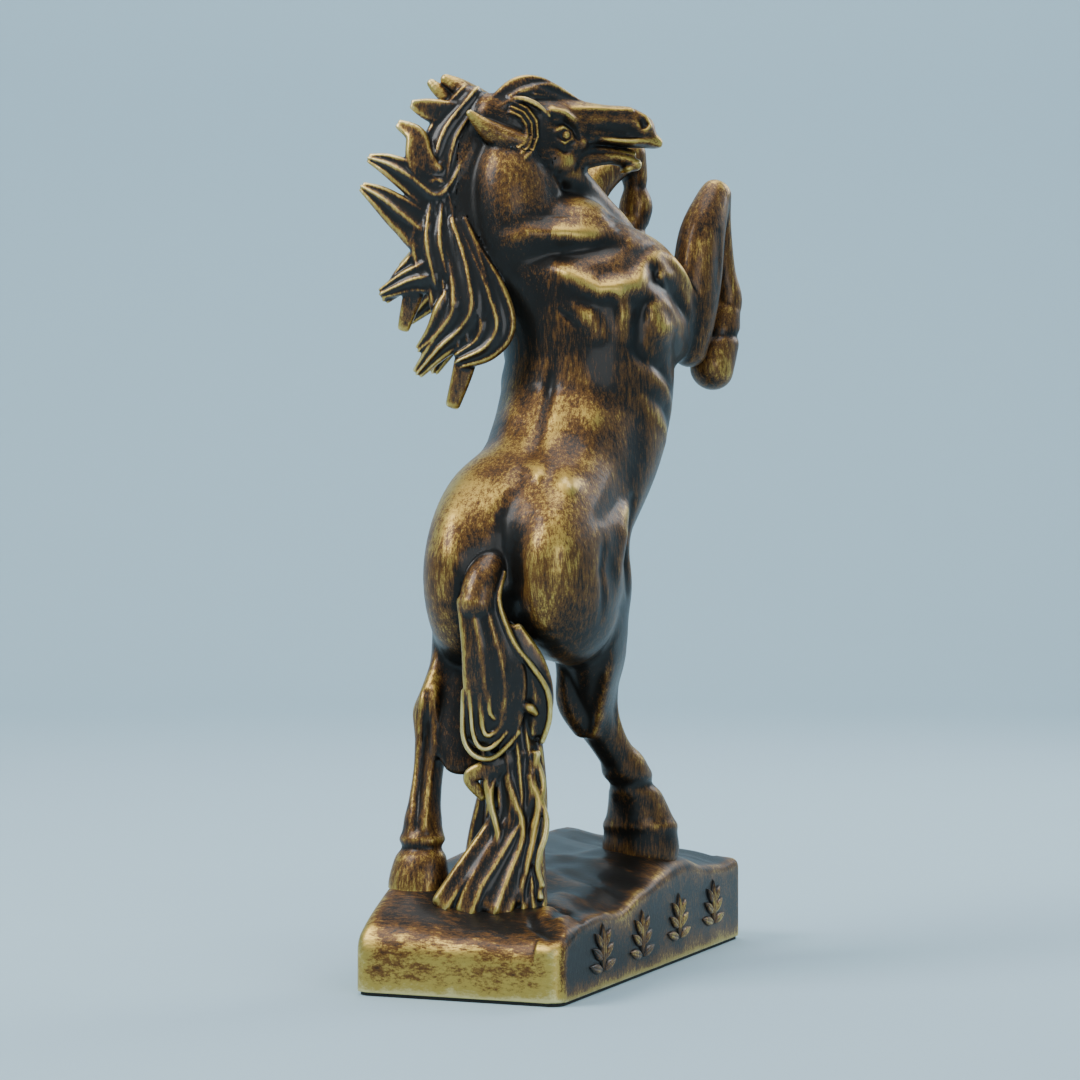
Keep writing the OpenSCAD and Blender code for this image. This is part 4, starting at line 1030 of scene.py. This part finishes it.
def sculpt_plinth():
    """The plinth as clay: the space under its top, inside its four sides, met with a rounding."""
    low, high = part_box("plinth")
    low, high = np.array(low) / MM, np.array(high) / MM
    clay = Clay(low - 4, high + 4, BODY_VOXEL * 1.1)
    x, y, z = clay.window(low - 4, high + 4)[1]
    half = (high - low) / 2
    dx = np.abs(x) - (half[0] - PLINTH_CORNER)
    dy = np.abs(y) - (half[1] - PLINTH_CORNER)
    side = np.sqrt(np.maximum(dx, 0) ** 2 + np.maximum(dy, 0) ** 2)
    side = side + np.minimum(np.maximum(dx, dy), 0)
    side = side - PLINTH_CORNER
    top = z - plinth_top(x, y)
    shoulder = np.where(y < -half[1] + 12, RIGHT_SHOULDER, PLINTH_SHOULDER)
    shell = -smooth_min(-(side + 0 * z), -top, shoulder)
    # A pocket in the underside takes the board.
    board = np.array(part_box("base_board")[1]) / MM
    pocket = np.maximum(np.maximum(np.abs(x) - board[0], np.abs(y) - board[1]), z - board[2])
    clay.skin = np.maximum(np.maximum(shell, low[2] - z), -pocket).astype(np.float32)
    clay.press(UPWARD, ALONG, ACROSS, ROCK_RELIEF, (low + (2, 2, 12), high + 2), 0.3)
    p, quads, _, values = skin_mesh(clay)
    # The right face is left as dark as the top.
    values["lift"] += np.clip((low[1] + 2.5 - p[:, 1]) / 1.5, 0, 1)
    piece = new_piece("plinth_casting", p, quads.tolist(), plinth_bronze,
                      values.items())
    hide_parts("plinth")


def leaf(base, turn, long, wide, deep, face_y):
    """A raised leaf: its outline is a sine bulge along its length, its face a dome that dips along
    the midrib. Base is [x, z] on the plinth's face."""
    rows, columns = 18, 13
    u = np.linspace(0, 1, rows)[:, None]
    v = np.linspace(-1, 1, columns)[None, :]
    half = 0.5 * wide * np.sin(math.pi * u ** 0.85) + 0.02
    dome = deep * (1 - v ** 2) ** 0.5 * np.sin(math.pi * u) ** 0.4 * (1 - 0.35 * np.exp(-(v / 0.16) ** 2))
    s = long * u + 0 * v
    c = half * v
    x = base[0] + s * math.sin(turn) + c * math.cos(turn)
    z = base[1] + s * math.cos(turn) - c * math.sin(turn)
    front = np.stack([x, face_y - dome, z], -1).reshape(-1, 3)
    back = np.stack([x, face_y + 0.6 + 0 * x, z], -1).reshape(-1, 3)
    i = np.arange(rows - 1)[:, None] * columns + np.arange(columns - 1)[None, :]
    i = i.ravel()
    n = rows * columns
    faces = np.stack([i, i + 1, i + columns + 1, i + columns], 1)
    backs = faces[:, ::-1] + n
    rim = np.concatenate([np.arange(columns), columns * np.arange(1, rows) + columns - 1,
                          n - 2 - np.arange(columns - 1), columns * np.arange(rows - 2, 0, -1)])
    nxt = np.roll(rim, -1)
    walls = np.stack([nxt, rim, rim + n, nxt + n], 1)
    return np.vstack([front, back]), np.vstack([faces, backs, walls])


def sculpt_sprigs():
    """Four sprigs of leaves on the plinth's right face, in place of any writing."""
    low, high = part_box("plinth_relief")
    face_y = high.y / MM
    deep = (high.y - low.y) / MM
    left, right = low.x / MM, high.x / MM
    places, faces = [], []
    count = 0
    for i in range(4):
        x = left + 14 + (right - left - 28) * i / 3
        z = (8, 8, 10, 11)[i]
        leaves = [((x, z), 0.0, 21, 6.5)]
        for side in (-1, 1):
            for step in range(3):
                leaves.append(((x, z + 1 + 4.5 * step), side * math.radians(78 - 14 * step),
                               15.5 - 2 * step, 4.6))
        for base, turn, long, wide in leaves:
            p, f = leaf(base, turn, long, wide, deep, face_y)
            places.append(p)
            faces.append(f + count)
            count += len(p)
    p = np.vstack(places)
    rise = np.clip((face_y - p[:, 1]) / deep, 0, 1)
    piece = new_piece("plinth_sprigs", p, np.vstack(faces).tolist(), relief_bronze,
                      [("ridge", rise * 0.3 - 0.12), ("swell", rise * 0.1), ("lift", rise * 0)])
    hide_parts("plinth_relief")


sculpt_plinth()
sculpt_sprigs()

# ---------------------------------------------------------------- studio
BACKDROP = (0.46, 0.63, 0.72)
VIEW_FROM = (-1.2291, -0.4869, 0.187)
LENS = 100


def build_studio():
    """A round studio: a flat floor that curves up into a wall, as one surface of revolution."""
    bend = np.radians(np.arange(0, 91, 6))
    radius = np.concatenate([[0.001, 0.3, 0.6, 1.0, 1.6], 2.0 + 0.8 * np.sin(bend), [2.8]])
    height = np.concatenate([np.zeros(5), 0.8 * (1 - np.cos(bend)), [3.2]])
    columns = 96
    turn = np.linspace(0, 2 * math.pi, columns, endpoint=False)
    p = np.stack([radius[:, None] * np.cos(turn), radius[:, None] * np.sin(turn),
                  height[:, None] + 0 * turn], -1).reshape(-1, 3)
    row = np.arange(len(radius) - 1)[:, None] * columns
    col = np.arange(columns)[None, :]
    nxt = (col + 1) % columns
    faces = np.stack([row + col, row + nxt, row + columns + nxt, row + columns + col], -1)
    faces = faces.reshape(-1, 4)
    mesh = bpy.data.meshes.new("studio_floor")
    mesh.from_pydata(p, [], faces[:, ::-1].tolist())
    mesh.polygons.foreach_set("use_smooth", np.ones(len(mesh.polygons), bool))
    mesh.materials.append(plain("studio_paper", BACKDROP, 0.9, 0.0, 6, 0.015, 0.0))
    floor = bpy.data.objects.new("studio_floor", mesh)
    bpy.context.scene.collection.objects.link(floor)


def area_light(name, place, target, size, power):
    """A square soft light that looks at the target."""
    light = bpy.data.lights.new(name, "AREA")
    light.size = size
    light.energy = power
    lamp = bpy.data.objects.new(name, light)
    bpy.context.scene.collection.objects.link(lamp)
    lamp.location = place
    way = np.array(target) - np.array(place)
    lamp.rotation_euler = Vector(way).to_track_quat("-Z", "Y").to_euler()


def build_camera():
    """A level camera behind the horse's right side."""
    data = bpy.data.cameras.new("camera")
    data.lens = LENS
    data.sensor_width = 36
    camera = bpy.data.objects.new("camera", data)
    bpy.context.scene.collection.objects.link(camera)
    camera.location = [v * K for v in VIEW_FROM]
    camera.rotation_euler = (math.radians(90), 0, math.radians(-68))
    bpy.context.scene.camera = camera


build_studio()
build_camera()
middle = (0, 0, 0.2 * K)
area_light("key", (-0.9, 0.9, 1.5), middle, 0.9, 25)
area_light("fill", (-1.2, -1.3, 0.7), middle, 1.0, 9)
area_light("top", (0.1, -0.1, 1.7), middle, 0.9, 9)
area_light("rim", (1.2, -0.6, 1.0), middle, 0.7, 7)
area_light("wall", (1.2, 0.5, 2.4), (2.6, 1.0, 0.7), 1.6, 34)
world = bpy.data.worlds.new("studio_air")
world.use_nodes = True
world.node_tree.nodes["Background"].inputs["Color"].default_value = (0.92, 0.96, 1.0, 1)
world.node_tree.nodes["Background"].inputs["Strength"].default_value = 0.42
bpy.context.scene.world = world
